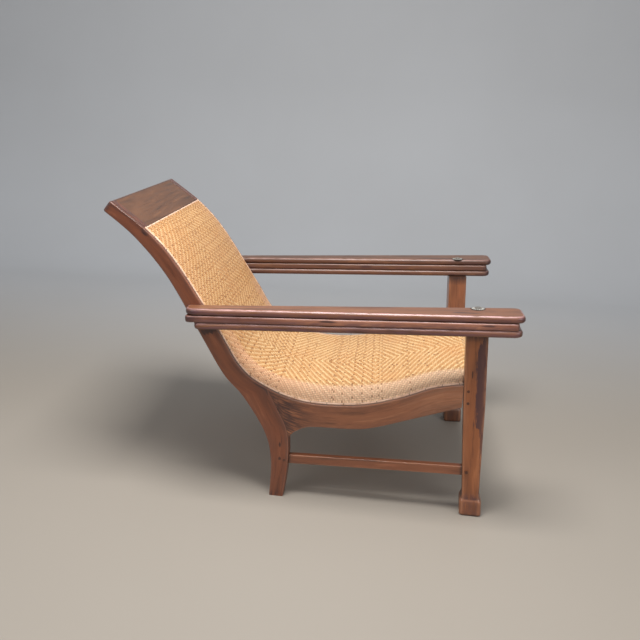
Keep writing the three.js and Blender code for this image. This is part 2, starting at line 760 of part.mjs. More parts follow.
function bolt() {
  const seat = rosetteSink - rosetteThickness - 2 * fit;
  const head = pivotTool(boltHead, seat - boltHeadHeight, seat);
  const shank = pivotTool(boltDiameter, seat - boltHeadHeight / 2, stack + boltDepth);
  const slot = new THREE.BoxGeometry(2 * boltHead, boltSlot, boltHeadHeight);
  const basis = new THREE.Matrix4().makeBasis(armForward, armOut, armDown);
  basis.setPosition(onArm(0, pivotOut, seat - boltHeadHeight));
  return cut(joined(head, shank), slot.applyMatrix4(basis));
}

// Cane.

// Distances across from the middle at which the mat's section turns, from one edge to the other.
function matColumns(station, edge) {
  const half = edgeAt(station);
  const slope = [...bedInsets, ...stations(plank, bedStart + riseWidth, slopeSteps).slice(1)];
  const flat = stations(bedStart + riseWidth, half, middleSteps).slice(1, -1);
  const side = [edge, ...slope.filter((inset) => inset > edge + fit), ...flat].map((inset) => half - inset);
  return [...side.map((x) => -x), 0, ...side.reverse()];
}

// Stretch of the mat between two shares, standing in from each outer face by the edge.
function matStretch(from, to, edge, thickness, drop) {
  const rows = rowsBetween(from, to);
  const sections = rows.map((row) => {
    const under = matColumns(row, edge).map((x) => [x, matLift(row, edgeAt(row) - Math.abs(x)) - drop]);
    return asVectors([...under, ...under.map(([x, lift]) => [x, lift + thickness]).reverse()]);
  });
  return loft(sections, (p, i) => overSeat(rows[i], p.x, p.y));
}

const matInset = bedStart + fit;
const matFront = stationAt(seatFront - legClear);

function caneMat() {
  const wide = matStretch(headShare + along(grooveWidth + fit), matFront, matInset, matThickness, 0);
  const nose = matStretch(matFront - along(overrun), 1, legInner + legClear, matThickness, 0);
  return joined(wide, nose);
}

// Section of a bead, half round over the bottom of its groove: distance from its middle, and lift.
function beadSection() {
  const half = grooveWidth / 2 - fit;
  const arc = stations(0, Math.PI, beadSteps).map((turn) => [half * Math.cos(turn), half * Math.sin(turn)]);
  return asVectors([[-half, fit - grooveDepth], [half, fit - grooveDepth], ...arc]);
}

function sideBead() {
  const rows = rowsBetween(headShare, stationAt(seatFront - fit));
  const middle = lipWidth + grooveWidth / 2;
  return loft(rows.map(beadSection), (p, i) => overSeat(rows[i], middle + p.x - edgeAt(rows[i]), p.y));
}

// Bead across the chair, along the lower edge of the head panel.
function headBead() {
  const middle = headShare + along(grooveWidth / 2);
  return crossPiece(beadSection().map((p) => seatPlace(middle + along(p.x), p.y)), matInset);
}

// Front rail, hollowed on top and in front to carry the nose of the mat.
function frontRailPiece() {
  const room = matStretch(stationAt(frontRailBack - overrun), 1, plank, 2 * stockAbove, fit);
  return cut(tongued(frontRail, frontRailTenon, legInner), room);
}

// Assembly.

const chair = new THREE.Group();

function add(name, geometry, material) {
  const mesh = new THREE.Mesh(welded(geometry), material);
  mesh.name = name;
  chair.add(mesh);
}

function addPair(name, geometry, material) {
  add(`${name}_right`, geometry, material);
  add(`${name}_left`, mirrored(welded(geometry)), material);
}

const [screwTop, screwBase] = armScrews(0);
const [railPegLower, railPegUpper] = railPegs.map((place) => peg(place, -legProud));

addPair('rear_leg_and_stile', stile(), teak);
addPair('seat_rail', seatRail(), teak);
addPair('front_leg', frontLeg(), teak);
addPair('side_stretcher', sideStretcher(), teak);
add('head_panel', tongued(headPanelBody, headPanelTenon, plank), teakDark);
add('rear_cross_rail', tongued(rearRail(0), () => rearRail(tenonShoulder), plank), teak);
add('front_rail', frontRailPiece(), teak);
addPair('arm_top_board', armTop(), teakArm);
addPair('leg_rest_leaf', leaf(), teakArm);
addPair('arm_base_board', armBase(), teakArm);
addPair('pivot_rosette', rosette(), brass);
addPair('pivot_bolt', bolt(), steel);
addPair('arm_screw_top', screwTop, steel);
addPair('arm_screw_base', screwBase, steel);
addPair('rail_peg_lower', railPegLower, teakDark);
addPair('rail_peg_upper', railPegUpper, teakDark);
addPair('stretcher_peg_rear', peg(stretcherRearPeg, 0), teakDark);
addPair('stretcher_peg_front', peg(stretcherFrontPeg, -legProud), teakDark);
add('cane_mat', caneMat(), cane);
addPair('side_bead', sideBead(), caneBead);
add('head_bead', headBead(), caneBead);

const bounds = new THREE.Box3().setFromObject(chair);
chair.position.set(0, -(bounds.min.y + bounds.max.y) / 2, -bounds.min.z);
chair.updateMatrixWorld(true);

export default chair;
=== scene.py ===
import json
import math

import bpy
import numpy as np
from mathutils import Matrix, Vector


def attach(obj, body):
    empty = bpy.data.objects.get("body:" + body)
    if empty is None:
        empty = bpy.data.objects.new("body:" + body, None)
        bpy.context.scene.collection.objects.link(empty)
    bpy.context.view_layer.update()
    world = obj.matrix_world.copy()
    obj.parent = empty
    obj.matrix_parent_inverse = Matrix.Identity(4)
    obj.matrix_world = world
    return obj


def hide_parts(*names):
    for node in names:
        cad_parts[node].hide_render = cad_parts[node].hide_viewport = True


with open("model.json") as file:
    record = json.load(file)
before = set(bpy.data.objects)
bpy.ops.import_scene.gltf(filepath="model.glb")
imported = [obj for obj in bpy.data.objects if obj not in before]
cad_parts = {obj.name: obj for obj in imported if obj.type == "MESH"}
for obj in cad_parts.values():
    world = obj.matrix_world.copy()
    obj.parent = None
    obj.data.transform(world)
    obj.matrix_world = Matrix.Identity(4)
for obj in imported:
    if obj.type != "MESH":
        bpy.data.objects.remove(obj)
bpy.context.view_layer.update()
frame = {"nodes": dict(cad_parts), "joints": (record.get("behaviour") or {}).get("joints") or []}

# A planter's chair in old teak with a hand-woven cane mat. Shapes are worked out in millimetres on the
# sitter's right, in the CAD's frame, and are mirrored for the left.

millimetre = 0.001
fit = 0.3
stance = {
    "heelHalf": 341.0, "splay": math.radians(2.9), "lean": math.radians(3.0), "pivotRun": 535.0,
    "legWidth": 58.0, "legProud": 2.0, "armTop": 585.0,
}
pivotJoint = next(joint for joint in frame["joints"] if joint["name"] == "leg_rest_right_swing")
pivot = np.array(pivotJoint["pos_m"]) / millimetre


# Camera

eye = {"place": (-2.43458, -0.1827, 1.10797), "yaw": 4.0619, "pitch": 15.4815, "roll": 2.6352, "lens": 45.861}


def setCamera():
    # looks along +X, turned by yaw about the vertical, tipped down by pitch and rolled about its own axis
    yaw, pitch, roll = (math.radians(eye[k]) for k in ("yaw", "pitch", "roll"))
    ahead = Vector((math.cos(yaw) * math.cos(pitch), math.sin(yaw) * math.cos(pitch), -math.sin(pitch)))
    level = Vector((math.sin(yaw), -math.cos(yaw), 0))
    upright = Vector((math.cos(yaw) * math.sin(pitch), math.sin(yaw) * math.sin(pitch), math.cos(pitch)))
    right = math.cos(roll) * level + math.sin(roll) * upright
    top = -math.sin(roll) * level + math.cos(roll) * upright
    lens = bpy.data.cameras.new("view")
    lens.lens, lens.sensor_width, lens.sensor_height = eye["lens"], 36, 36
    camera = bpy.data.objects.new("view", lens)
    rows = [(*row, 0) for row in (right, top, -ahead)] + [(*eye["place"], 1)]
    camera.matrix_world = Matrix(rows).transposed()
    bpy.context.scene.collection.objects.link(camera)
    bpy.context.scene.camera = camera


setCamera()
print("camera set")


# Material nodes

class Value:
    # a number or colour worked out by the nodes of a finish; arithmetic with it adds the nodes for it
    def __init__(self, finish, socket):
        self.finish = finish
        self.socket = socket

    def __add__(self, other):
        return self.finish.maths("ADD", self, other)

    def __sub__(self, other):
        return self.finish.maths("SUBTRACT", self, other)

    def __rsub__(self, other):
        return self.finish.maths("SUBTRACT", other, self)

    def __mul__(self, other):
        return self.finish.maths("MULTIPLY", self, other)

    def __truediv__(self, other):
        return self.finish.maths("DIVIDE", self, other)

    def __abs__(self):
        return self.finish.maths("ABSOLUTE", self)

    def step(self, low, high):
        # smooth step from 0 at low to 1 at high
        limits = {"Value": self, "From Min": low, "From Max": high}
        return self.finish.add("ShaderNodeMapRange", "Result", limits, interpolation_type="SMOOTHSTEP")


class Finish:
    # a material whose colour is built up in layers, each laid over the ones below it by a share
    def __init__(self, name, **constants):
        self.material = bpy.data.materials.new(name)
        self.material.use_nodes = True
        self.tree = self.material.node_tree
        self.shader = self.tree.nodes["Principled BSDF"]
        self.colour = None
        for key, value in constants.items():
            self.shader.inputs[key.replace("_", " ")].default_value = value

    def feed(self, socket, value):
        # a value that the nodes work out is linked, and a constant is set
        if isinstance(value, Value):
            self.tree.links.new(value.socket, socket)
        else:
            socket.default_value = value

    def add(self, kind, output, inputs=None, **settings):
        # adds a node and gives one of its outputs
        made = self.tree.nodes.new(kind)
        for key, value in settings.items():
            setattr(made, key, value)
        for key, value in (inputs or {}).items():
            self.feed(made.inputs[key], value)
        return Value(self, made.outputs[output])

    def maths(self, operation, *values):
        return self.add("ShaderNodeMath", 0, dict(enumerate(values)), operation=operation)

    def vectorMaths(self, operation, *values, output="Vector"):
        return self.add("ShaderNodeVectorMath", output, dict(enumerate(values)), operation=operation)

    def attribute(self, name):
        return self.add("ShaderNodeAttribute", "Vector", attribute_name=name)

    def objectPlace(self):
        return self.add("ShaderNodeTexCoord", "Object")

    def parts(self, vector):
        # the three numbers of a vector
        split = self.add("ShaderNodeSeparateXYZ", 0, {"Vector": vector})
        return [Value(self, socket) for socket in split.socket.node.outputs]

    def noise(self, vector, scale, detail=2, rough=0.5):
        # noise over the vector after each of its directions is stretched by its own scale
        stretched = self.add("ShaderNodeMapping", 0, {"Vector": vector, "Scale": scale})
        values = {"Vector": stretched, "Scale": 1.0, "Detail": detail, "Roughness": rough}
        return self.add("ShaderNodeTexNoise", "Fac", values)

    def ramp(self, share, stops):
        # colour read off a band of stops
        made = self.add("ShaderNodeValToRGB", "Color", {"Fac": share})
        band = made.socket.node.color_ramp
        while len(band.elements) < len(stops):
            band.elements.new(0.5)
        for element, (at, colour) in zip(band.elements, stops):
            element.position = at
            element.color = colour
        return made

    def mix(self, share, under, over, kind="RGBA"):
        # a share of the way from one colour or number to another
        first, second, result = {"FLOAT": (2, 3, 0), "RGBA": (6, 7, 2)}[kind]
        return self.add("ShaderNodeMix", result, {0: share, first: under, second: over}, data_type=kind)

    def lay(self, share, over):
        # one more layer over the colour so far
        self.colour = self.mix(share, self.colour, over)

    def done(self, rough, height, strength, depth):
        # the colour so far with its roughness, and a bump from the height
        bump = self.add("ShaderNodeBump", 0, {"Height": height, "Strength": strength, "Distance": depth})
        for key, value in (("Base Color", self.colour), ("Roughness", rough), ("Normal", bump)):
            self.feed(self.shader.inputs[key], value)
        return self.material


def tone(red, green, blue):
    # colour as read off a screen, 0 to 255, turned into the light values that the shader takes
    light = (((v / 255 + 0.055) / 1.055) ** 2.4 if v > 10 else v / 3294.6 for v in (red, green, blue))
    return (*light, 1)


# Wood

# dark, mid, light, stain, rubbed arris and old varnish
teakTones = {
    "stile": ((70, 34, 20), (118, 64, 38), (148, 88, 56), (44, 22, 20), (172, 120, 94), (60, 36, 34)),
    "rail": ((78, 45, 28), (134, 82, 54), (164, 108, 74), (70, 42, 32), (182, 130, 100), (66, 38, 32)),
    "front_leg": ((84, 44, 23), (139, 80, 44), (164, 101, 60), (60, 32, 24), (162, 108, 76), (76, 44, 44)),
    "clean_leg": ((72, 40, 26), (118, 70, 44), (144, 90, 60), (56, 32, 24), (152, 104, 76), (70, 42, 40)),
    # on the arm boards and the leaf the rubbed-arris tone is a painted highlight, and the old varnish is
    # partly painted shade
    "arm": ((72, 42, 26), (114, 71, 44), (144, 95, 62), (60, 34, 26), (210, 168, 170), (90, 50, 58)),
    # the left arm's tones are a darker copy of the arm's: painted shade, with a dimmer painted highlight
    "left_arm": ((64, 38, 26), (104, 68, 47), (130, 90, 66), (48, 27, 22), (164, 128, 120), (68, 38, 38)),
    "leaf": ((98, 54, 38), (150, 96, 70), (180, 124, 94), (40, 20, 18), (222, 184, 182), (90, 50, 50)),
    "head": ((72, 45, 29), (97, 63, 41), (117, 79, 53), (58, 40, 34), (146, 110, 86), (54, 34, 32)),
    "stretcher": ((76, 40, 26), (120, 70, 45), (152, 94, 64), (50, 28, 22), (150, 104, 78), (60, 34, 32)),
    "peg": ((52, 28, 18), (82, 46, 30), (108, 64, 44), (40, 22, 18), (112, 70, 50), (56, 30, 26)),
    "hidden": ((62, 34, 22), (102, 58, 38), (130, 80, 54), (48, 28, 24), (140, 96, 72), (64, 38, 32)),
}
grimeAndShade = (0.012, 0.008, 0.007, 1)


def woodFinish(name, tones, carried=True, remains=False, gloss=0.36, coat=0.35, figured=1.0, marks=()):
    # growth lines are a sine of the distance across, bent by slow noise; streaks and pores are noise
    # stretched along the grain; the wear attribute brings out worn arrises, old varnish and dirt, and
    # on some pieces painted highlights and painted shade; each mark is a dark ellipsoid with a ragged
    # rim, given by its middle and its three half sizes. A piece that doesn't carry a grain attribute
    # takes its own coordinates for it
    dark, mid, light, stain, worn, old = (tone(*values) for values in teakTones[tones])
    finish = Finish(name, Coat_Weight=coat, Coat_Roughness=0.22, IOR=1.5)
    place = finish.attribute("grain") if carried else finish.objectPlace()
    along, across, _ = finish.parts(place)
    lines = finish.maths("SINE", across * 260.0 + finish.noise(place, (1.6, 9, 9)) * 34.0)
    streaks = finish.noise(place, (5, 70, 55), 4, 0.6)
    pores = finish.noise(place, (34, 900, 700), 2, 0.6)
    figure = streaks * 0.72 + pores * 0.28 + lines * (0.06 * figured)
    finish.colour = finish.ramp(figure, ((0.32, dark), (0.45, mid), (0.55, mid), (0.69, light)))
    # stretch of the noise, its detail and roughness, where it starts and is full, share and tone
    layers = {
        "clouds": ((5.5, 34, 34), 4, 0.62, 0.54, 0.74, 0.58 * figured, stain),
        "patches": ((3, 7, 7), 2, 0.5, 0.48, 0.7, 0.4, light),
        "veins": ((4, 130, 110), 3, 0.6, 0.56, 0.7, 0.55 * figured, dark),
        "shades": ((2.4, 11, 11), 3, 0.55, 0.5, 0.62, 0.45, dark),
        "knots": ((7, 26, 26), 1, 0.4, 0.735, 0.79, 0.85, stain),
    }
    for stretch, detail, rough, start, full, share, over in layers.values():
        finish.lay(finish.noise(place, stretch, detail, rough).step(start, full) * share, over)
    ragged = finish.noise(place, (22, 160, 160), 4, 0.65)
    for middle, size in marks:
        away = finish.vectorMaths("SUBTRACT", place, middle)
        away = finish.vectorMaths("DIVIDE", away, size)
        reach = finish.vectorMaths("LENGTH", away, output="Value")
        rim = reach + (ragged - 0.5) * 2.2
        finish.lay((1.0 - rim.step(0.55, 1.1)) * 0.85, stain)
    rubbed, varnished, dirty = finish.parts(finish.attribute("wear"))
    # the varnish and dirt shares carry painted shade as well as old varnish and dirt, and the rubbed share
    # painted highlights as well as worn arrises
    oldVarnishAndShade = varnished * ragged.step(0.34, 0.56)
    if remains:
        oldVarnishAndShade = finish.maths("MAXIMUM", oldVarnishAndShade, varnishRemains(finish, place, along, across))
    finish.lay(oldVarnishAndShade, old)
    finish.lay(rubbed * ragged.step(0.3, 0.62) * 0.8, worn)
    # dark grime, and painted shade in grooves, gaps and recesses
    finish.lay(dirty * 0.85, grimeAndShade)
    rough = figure * 0.26 + (gloss - 0.1) - oldVarnishAndShade * 0.08
    return finish.done(rough, pores * 0.5 + streaks * 0.8 + oldVarnishAndShade * 0.35, 0.35, 0.0006)


legVarnish = {
    "height": 0.55, "width": 0.066, "back": 0.031, "rim": 0.0012,
    "starts": ((0.0, 1.0), (0.12, 0.95), (0.17, 0.82), (0.264, 0.82), (0.37, 0.77), (0.464, 0.72),
               (0.482, 0.53), (0.658, 0.515), (0.759, 0.5), (0.852, 0.465), (0.9, 0.6), (0.924, 0.71),
               (0.972, 0.72)),
}


def varnishRemains(finish, place, height, forward):
    # ragged old varnish on the front of a leg: at shares of the leg's height, the share of its width
    # where the varnish starts, which is further forward the lower it gets
    stops = [(at, (start, start, start, 1)) for at, start in legVarnish["starts"]]
    start = finish.ramp(height / legVarnish["height"], stops) * legVarnish["width"] - legVarnish["back"]
    coarse = (finish.noise(place, (16, 60, 40), 3, 0.6) - 0.5) * 0.022
    slivers = (finish.noise(place, (22, 420, 420), 4, 0.75) - 0.5) * 0.034
    return (forward - start + (coarse + slivers)).step(0.0, legVarnish["rim"])


# Lines and places

def between(low, high, share):
    # a share of the way from low to high
    return low + (high - low) * share


def graded(values, stops):
    # levels read off a line through stops
    at, level = zip(*stops)
    return np.interp(values, at, level)


def stacked(*parts):
    # points from arrays of their coordinates, which are brought to one shape
    return np.stack(np.broadcast_arrays(*parts), -1)


def runOf(points):
    # distance along a line from its first point to each of its points
    return np.concatenate([[0], np.cumsum(np.linalg.norm(np.diff(points, axis=0), axis=1))])


def alongLine(points, shares):
    # points at shares of the length of a line with straight stretches
    run = runOf(points)
    at = np.asarray(shares, float) * run[-1]
    return np.stack([np.interp(at, run, column) for column in points.T], 1)


def smoothLine(points, shares):
    # Catmull-Rom curve through the points, read at shares of its length
    points = np.asarray(points, float)
    fine = np.linspace(0, 1, 4001) * (len(points) - 1)
    first = np.minimum(fine.astype(int), len(points) - 2)
    part = (fine - first)[:, None]
    before, here = points[np.maximum(first - 1, 0)], points[first]
    ahead, after = points[first + 1], points[np.minimum(first + 2, len(points) - 1)]
    leave, arrive = (ahead - before) / 2, (after - here) / 2
    curve = ((2 * here - 2 * ahead + leave + arrive) * part ** 3
             + (3 * ahead - 3 * here - 2 * leave - arrive) * part ** 2 + leave * part + here)
    return alongLine(curve, shares)


pivotDepth = stance["legWidth"] / 2 - stance["legProud"]
heelPlace = (pivot[1] + math.cos(stance["splay"]) * stance["pivotRun"]
             + math.sin(stance["splay"]) * pivotDepth)


def onFrame(run, depth, height):
    # run forward from the heel, depth in from the outer face, height above the floor
    splay = stance["splay"]
    x = -stance["heelHalf"] - math.sin(splay) * run + math.cos(splay) * depth
    y = heelPlace - math.cos(splay) * run - math.sin(splay) * depth
    return stacked(x, y, height)


def halfWidth(run):
    # from the middle of the chair to the frame's outer face, which widens with the splay
    return stance["heelHalf"] + run * math.sin(stance["splay"])


def acrossChair(run, x, height):
    # a run along the side frame's outer face, at a distance across from the middle
    return stacked(x, heelPlace - run * math.cos(stance["splay"]), height)


def waver(along, size, seed):
    # slow unevenness of hand-worked wood: a few sines of different length
    turns = (0.011, 0.027, 0.061, 0.13)
    shifts = (1.3, 4.1, 2.2, 5.7)
    waves = (0.7 ** i * np.sin(along * k + s * (1 + seed)) for i, (k, s) in enumerate(zip(turns, shifts)))
    return size * sum(waves) / 2


# Meshes

def ringFaces(rings, around, closed):
    # four-sided faces between neighbouring rings; the last ring joins the first, or each end gets a face
    index = np.arange(rings * around).reshape(rings, around)
    near, far = (index, np.roll(index, -1, 0)) if closed else (index[:-1], index[1:])
    sides = np.stack([near, np.roll(near, -1, 1), np.roll(far, -1, 1), far], -1).reshape(-1, 4).tolist()
    return sides if closed else sides + [index[0][::-1].tolist(), index[-1].tolist()]


def pointsOutward(points, faces):
    # sign of the volume that the faces enclose, each face split into a fan of triangles
    fans = np.array([(face[0], b, c) for face in faces for b, c in zip(face[1:-1], face[2:])])
    a, b, c = (points[fans[:, i]] for i in range(3))
    return np.einsum("ij,ij->", a, np.cross(b, c)) > 0


def addObject(name, data):
    # an object at the origin that is in the scene
    made = bpy.data.objects.new(name, data)
    bpy.context.scene.collection.objects.link(made)
    return made


def makeMesh(name, points, faces, material, grain=None, wear=None, crease=None):
    # smooth mesh with the grain and wear of its points, and sharp edges where faces turn past the crease
    mesh = bpy.data.meshes.new(name)
    mesh.from_pydata(points, [], faces)
    mesh.shade_smooth()
    if crease:
        mesh.set_sharp_from_angle(angle=math.radians(crease))
    for label, values in (("grain", grain), ("wear", wear)):
        if values is not None:
            held = mesh.attributes.new(label, "FLOAT_VECTOR", "POINT")
            held.data.foreach_set("vector", np.ascontiguousarray(values, np.float32).ravel())
    mesh.materials.append(material)
    return addObject(name, mesh)


def settle(piece, body, slot, *nodes):
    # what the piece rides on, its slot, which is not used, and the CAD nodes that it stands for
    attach(piece, body)
    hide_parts(*nodes)


def skin(name, shape, material, body, slot, *nodes, closed=False, crease=38):
    # skin over rings of points in millimetres, with their grain and wear; a closed one is a tube
    rings, grain, wear = shape
    points = rings.reshape(-1, 3) * millimetre
    faces = ringFaces(*rings.shape[:2], closed)
    if not pointsOutward(points, faces):
        faces = [face[::-1] for face in faces]
    settle(makeMesh(name, points, faces, material, grain, wear, crease), body, slot, *nodes)


def skinPair(name, shape, material, slot, body="chair_frame", other=None, kind="wood", **form):
    # the piece on the sitter's right and its mirror image, each with its own stretch of grain
    rings, grain, wear = shape
    for side, flip, deeper, finish in (("right", 1, 0.0, material), ("left", -1, 1.7, other or material)):
        rides = body if body == "chair_frame" else f"{body}_{side}"
        turned = (rings * (flip, 1, 1), grain if grain is None else grain + (0, 0, deeper), wear)
        skin(f"{name}_{side}_{kind}", turned, finish, rides, slot, f"{name}_{side}", **form)


wearChannels = {"rubbed": 0, "varnish": 1, "dirt": 2}


def wearOn(rings, rubbed=0.0, varnish=0.0, dirt=0.0):
    # how rubbed, how covered in old varnish and how dirty each point of the rings is; on some pieces the
    # rubbed share is also a painted highlight and the other two also painted shade
    return np.stack([np.broadcast_to(share, rings.shape[:2]) for share in (rubbed, varnish, dirt)], -1)


def raiseWear(wear, kind, values):
    # one kind of wear is at least as strong as the values
    channel = wear[..., wearChannels[kind]]
    channel[...] = np.maximum(channel, values)


# Seat line

seat = {
    "lowRun": 138.0, "lowHeight": 286.0, "frontHeight": 379.0, "topBack": 454.0, "topHeight": 810.0,
    "back": [(1, 1), (0.822, 0.851), (0.684, 0.681), (0.496, 0.359), (0.392, 0.174), (0.284, 0.08),
             (0.093, 0.008)],
    "ahead": [(0.23, 0.065), (0.517, 0.355), (0.794, 0.817), (1, 1)],
    "noseReach": 46.0, "noseDrop": 47.0, "nose": [(0.52, 0.04), (0.957, -0.26), (1, -1)], "noseTurn": 0.97,
    "lip": 14.0, "groove": 6.0, "grooveDepth": 3.0, "headWidth": 115.0, "jointRun": -14.0,
    "rise": 22.0, "riseWidth": 86.0, "hold": 6.0, "crown": 8.0,
    "riseShares": [(0, 0.1), (0.343, 0.14), (0.498, 0.41), (0.591, 0.9), (0.701, 1), (0.786, 0.77),
                   (0.874, 0.55), (0.935, 0.5), (1, 0.12)],
}


def spanned(start, end, shares):
    # points at shares of the way from start to end, across and up
    return [(between(start[0], end[0], a), between(start[1], end[1], b)) for a, b in shares]


def legRun(height):
    # run of the middle of the front leg, which leans back
    return stance["pivotRun"] + (stance["armTop"] - height) * math.tan(stance["lean"])


seatFront = legRun(seat["frontHeight"]) - stance["legWidth"] / 2 - fit
seatEnds = {
    "low": (seat["lowRun"], seat["lowHeight"]), "top": (-seat["topBack"], seat["topHeight"]),
    "front": (seatFront, seat["frontHeight"]),
    "nose": (seatFront + seat["noseReach"], seat["frontHeight"] + seat["noseDrop"]),
}
seatPoints = (spanned(seatEnds["low"], seatEnds["top"], seat["back"])
              + spanned(seatEnds["low"], seatEnds["front"], seat["ahead"])
              + spanned(seatEnds["front"], seatEnds["nose"], seat["nose"]))
seatGrid = np.linspace(0, 1, 3001)
seatFine = smoothLine(seatPoints, seatGrid)
seatLength = runOf(seatFine)[-1]
seatTangent = np.gradient(seatFine, axis=0)
seatTangent /= np.linalg.norm(seatTangent, axis=1)[:, None]
beforeNose = seatGrid < seat["noseTurn"]
matStart = seat["lip"] + seat["groove"]


def shareAt(run):
    # share of the seat line's length where it passes a run, short of the nose's turn
    return np.interp(run, seatFine[beforeNose, 0], seatGrid[beforeNose])


def seatHeight(run):
    # height of the seat line where it passes a run
    return np.interp(run, seatFine[beforeNose, 0], seatFine[beforeNose, 1])


def seatPlace(share, lift=0.0):
    # point of the seat line at a share of its length, lifted square to it; straight on beyond its ends
    share = np.asarray(share, float)
    beyond = (share - np.clip(share, 0, 1)) * seatLength
    x, z = (np.interp(share, seatGrid, column) for column in seatFine.T)
    u, w = (np.interp(share, seatGrid, column) for column in seatTangent.T)
    return stacked(x + u * beyond - w * lift, z + w * beyond + u * lift)


def matLift(share, inset):
    # height of the mat's underside over the seat line: a nearly straight slope that turns over at its
    # inner end, and a slight crown
    at, rise = np.array(seat["riseShares"]).T
    share = np.asarray(share, float)
    k = np.clip(np.searchsorted(at, share) - 1, 0, len(at) - 2)
    part = np.clip((share - at[k]) / (at[k + 1] - at[k]), 0, 1)
    level = between(rise[k], rise[k + 1], part * part * (3 - 2 * part))
    slope = np.clip((inset - matStart) / seat["riseWidth"], 0, 1)
    middle = np.sin(np.clip(inset / halfWidth(seatPlace(share)[..., 0]), 0, 1) * np.pi / 2)
    turned = slope * (seat["hold"] + 1 - slope ** seat["hold"]) / seat["hold"]
    return level * (seat["rise"] * turned + seat["crown"] * middle ** 2)


headShare = seat["headWidth"] / seatLength
jointShare = shareAt(seat["jointRun"])
frontShare = shareAt(seatFront)
print("seat line", round(float(seatLength), 1), "mm")


# Stile with rear leg, and seat rail

plank = {"thickness": 38.0, "arris": 2.2, "wornBand": 3.0, "bedDrop": 1.2, "bedArris": 0.6}
stile = {
    "depth": 58.0, "heel": (39.0, 182.0), "endRound": 6.0, "bedStep": 0.5,
    "depthShares": [(0, 0.55), (0.17, 0.62), (0.39, 0.7), (0.65, 0.82), (0.84, 0.86), (0.94, 1)],
    "legFront": [(1.26, 1), (1.31, 0.66), (1.18, 0.31), (1, 0)], "jointLow": [(1.08, 1.18)],
    "legBack": [(-0.44, 1.04), (0.05, 0.58), (0, 0)],
    "roundRows": 7, "plainRows": 20, "bedRows": 110, "legRows": 60, "legStart": 0.0008,
    # old varnish by distance from the top end, and from the heel; how varnished and rubbed the lip is
    # above the mat
    "topVarnish": [(3.2, 1), (19.2, 0)], "fadingVarnish": [(0, 0.2), (200, 0)], "lipVarnish": 0.75,
    "heelVarnish": [(5.2, 0.9), (28.6, 0)], "lipRubbed": 0.35,
}
rail = {
    "depth": 68.0, "bracketGap": 0.6, "endGap": 0.4, "lowGap": 0.5, "rows": 120,
    "under": [(0.045, 1.31), (0.137, 1), (0.372, 1), (0.502, 1.02), (0.731, 1.05), (1, 0.93)],
    # by distance from the joint
    "rubbed": [(330, 0), (440, 0.35)], "varnish": [(60, 1), (160, 0)],
}
jointHigh = seatPlace(jointShare)
jointLow = np.array(spanned((0, 0), stile["heel"], stile["jointLow"])[0])
legFront = spanned((0, 0), stile["heel"], stile["legFront"])
stileBehind = [tuple(seatPlace(jointShare * a, -stile["depth"] * b)) for a, b in stile["depthShares"]]
stileBehind += spanned((0, 0), stile["heel"], stile["legBack"])


def corner(turns, radius):
    # quarter round: how far the two faces are left behind, from one face to the other
    turn = np.linspace(0, math.pi / 2, turns)
    return radius * (1 - np.sin(turn)), radius * (1 - np.cos(turn))


def plankSection():
    # one loop round the plank: share of the way to the far edge, distance added, depth from the outer
    # face, whether it follows the bed of the mat, and the rubbed, varnished and dirty shares; the rubbed
    # share on the arrises is partly wear and partly painted highlight
    r, band, t = plank["arris"], plank["wornBand"], plank["thickness"]
    lip, low, bed, ease = seat["lip"], seat["grooveDepth"], plank["bedDrop"], plank["bedArris"]
    arris = list(zip(*corner(5, r)))
    rows = [(0.5, 0, 0, 0, 0, 0, 0), (0.06, r + 2 * band, 0, 0, 0, 0.3, 0), (0, r + band, 0, 0, 0.1, 0.55, 0)]
    rows += [(0, e, d, 0, 0.35, 0.5, 0) for e, d in arris]
    # the lip's top is partly old varnish and partly painted shade
    rows += [(0, 0, r + band, 0, 0.1, 0.8, 0), (0, 0.2, lip - 1.6, 0, 0, 0.8, 0.15)]
    # the groove wall, the groove and the bed under the mat are darkened: painted shade
    rows += [(0, 0.9, lip - 0.4, 0, 0, 0.5, 0.7), (0, low, lip, 0, 0, 0, 1), (0, low, matStart, 0, 0, 0, 1)]
    rows += [(0, bed, between(matStart, t, s), 1, 0, 0, 0.6) for s in (0.0, 0.33, 0.66)]
    rows += [(0, bed + d * ease, t - e * ease, 1, 0, 0, 0.4) for e, d in arris]
    rows += [(0.5, 0, t, 0, 0, 0, 0)]
    rows += [(1, -e, t - d, 0, 0.5, 0.2, 0) for e, d in arris]
    rows += [(1, 0, t / 2, 0, 0, 0.3, 0)]
    rows += [(1, -d, e, 0, 0.35, 0.6, 0) for e, d in arris]
    rows += [(1, -r - band, 0, 0, 0.05, 0.35, 0)]
    return np.array(rows, float).T


def plankShape(front, back, bedded, shares, along):
    # the section carried along two edges of the plank, which are given in run and height; where it has
    # no bed, the lip is plain and has no groove
    way, add, depth, bed, rubbed, varnish, dirt = plankSection()
    reach = np.linalg.norm(back - front, axis=1)[:, None]
    out = (back - front) / reach
    inGroove = (way == 0) & (depth >= seat["lip"]) & (bed == 0)
    offset = np.where(bedded[:, None], add, np.where(inGroove, 0, add) - plank["bedDrop"] * bed)
    lift = bed * matLift(shares[:, None], np.maximum(depth, matStart)) * bedded[:, None]
    distance = way * reach + offset - lift
    flat = front[:, None] + out[:, None] * distance[..., None]
    rings = onFrame(flat[..., 0], depth + waver(along[:, None], 0.25, 0.2) * (depth == 0), flat[..., 1])
    grain = stacked(along[:, None], distance, depth) * millimetre
    # the dirty share, painted shade in the groove and under the mat, only where the mat lies
    return rings, grain, wearOn(rings, rubbed, varnish, dirt * bedded[:, None])


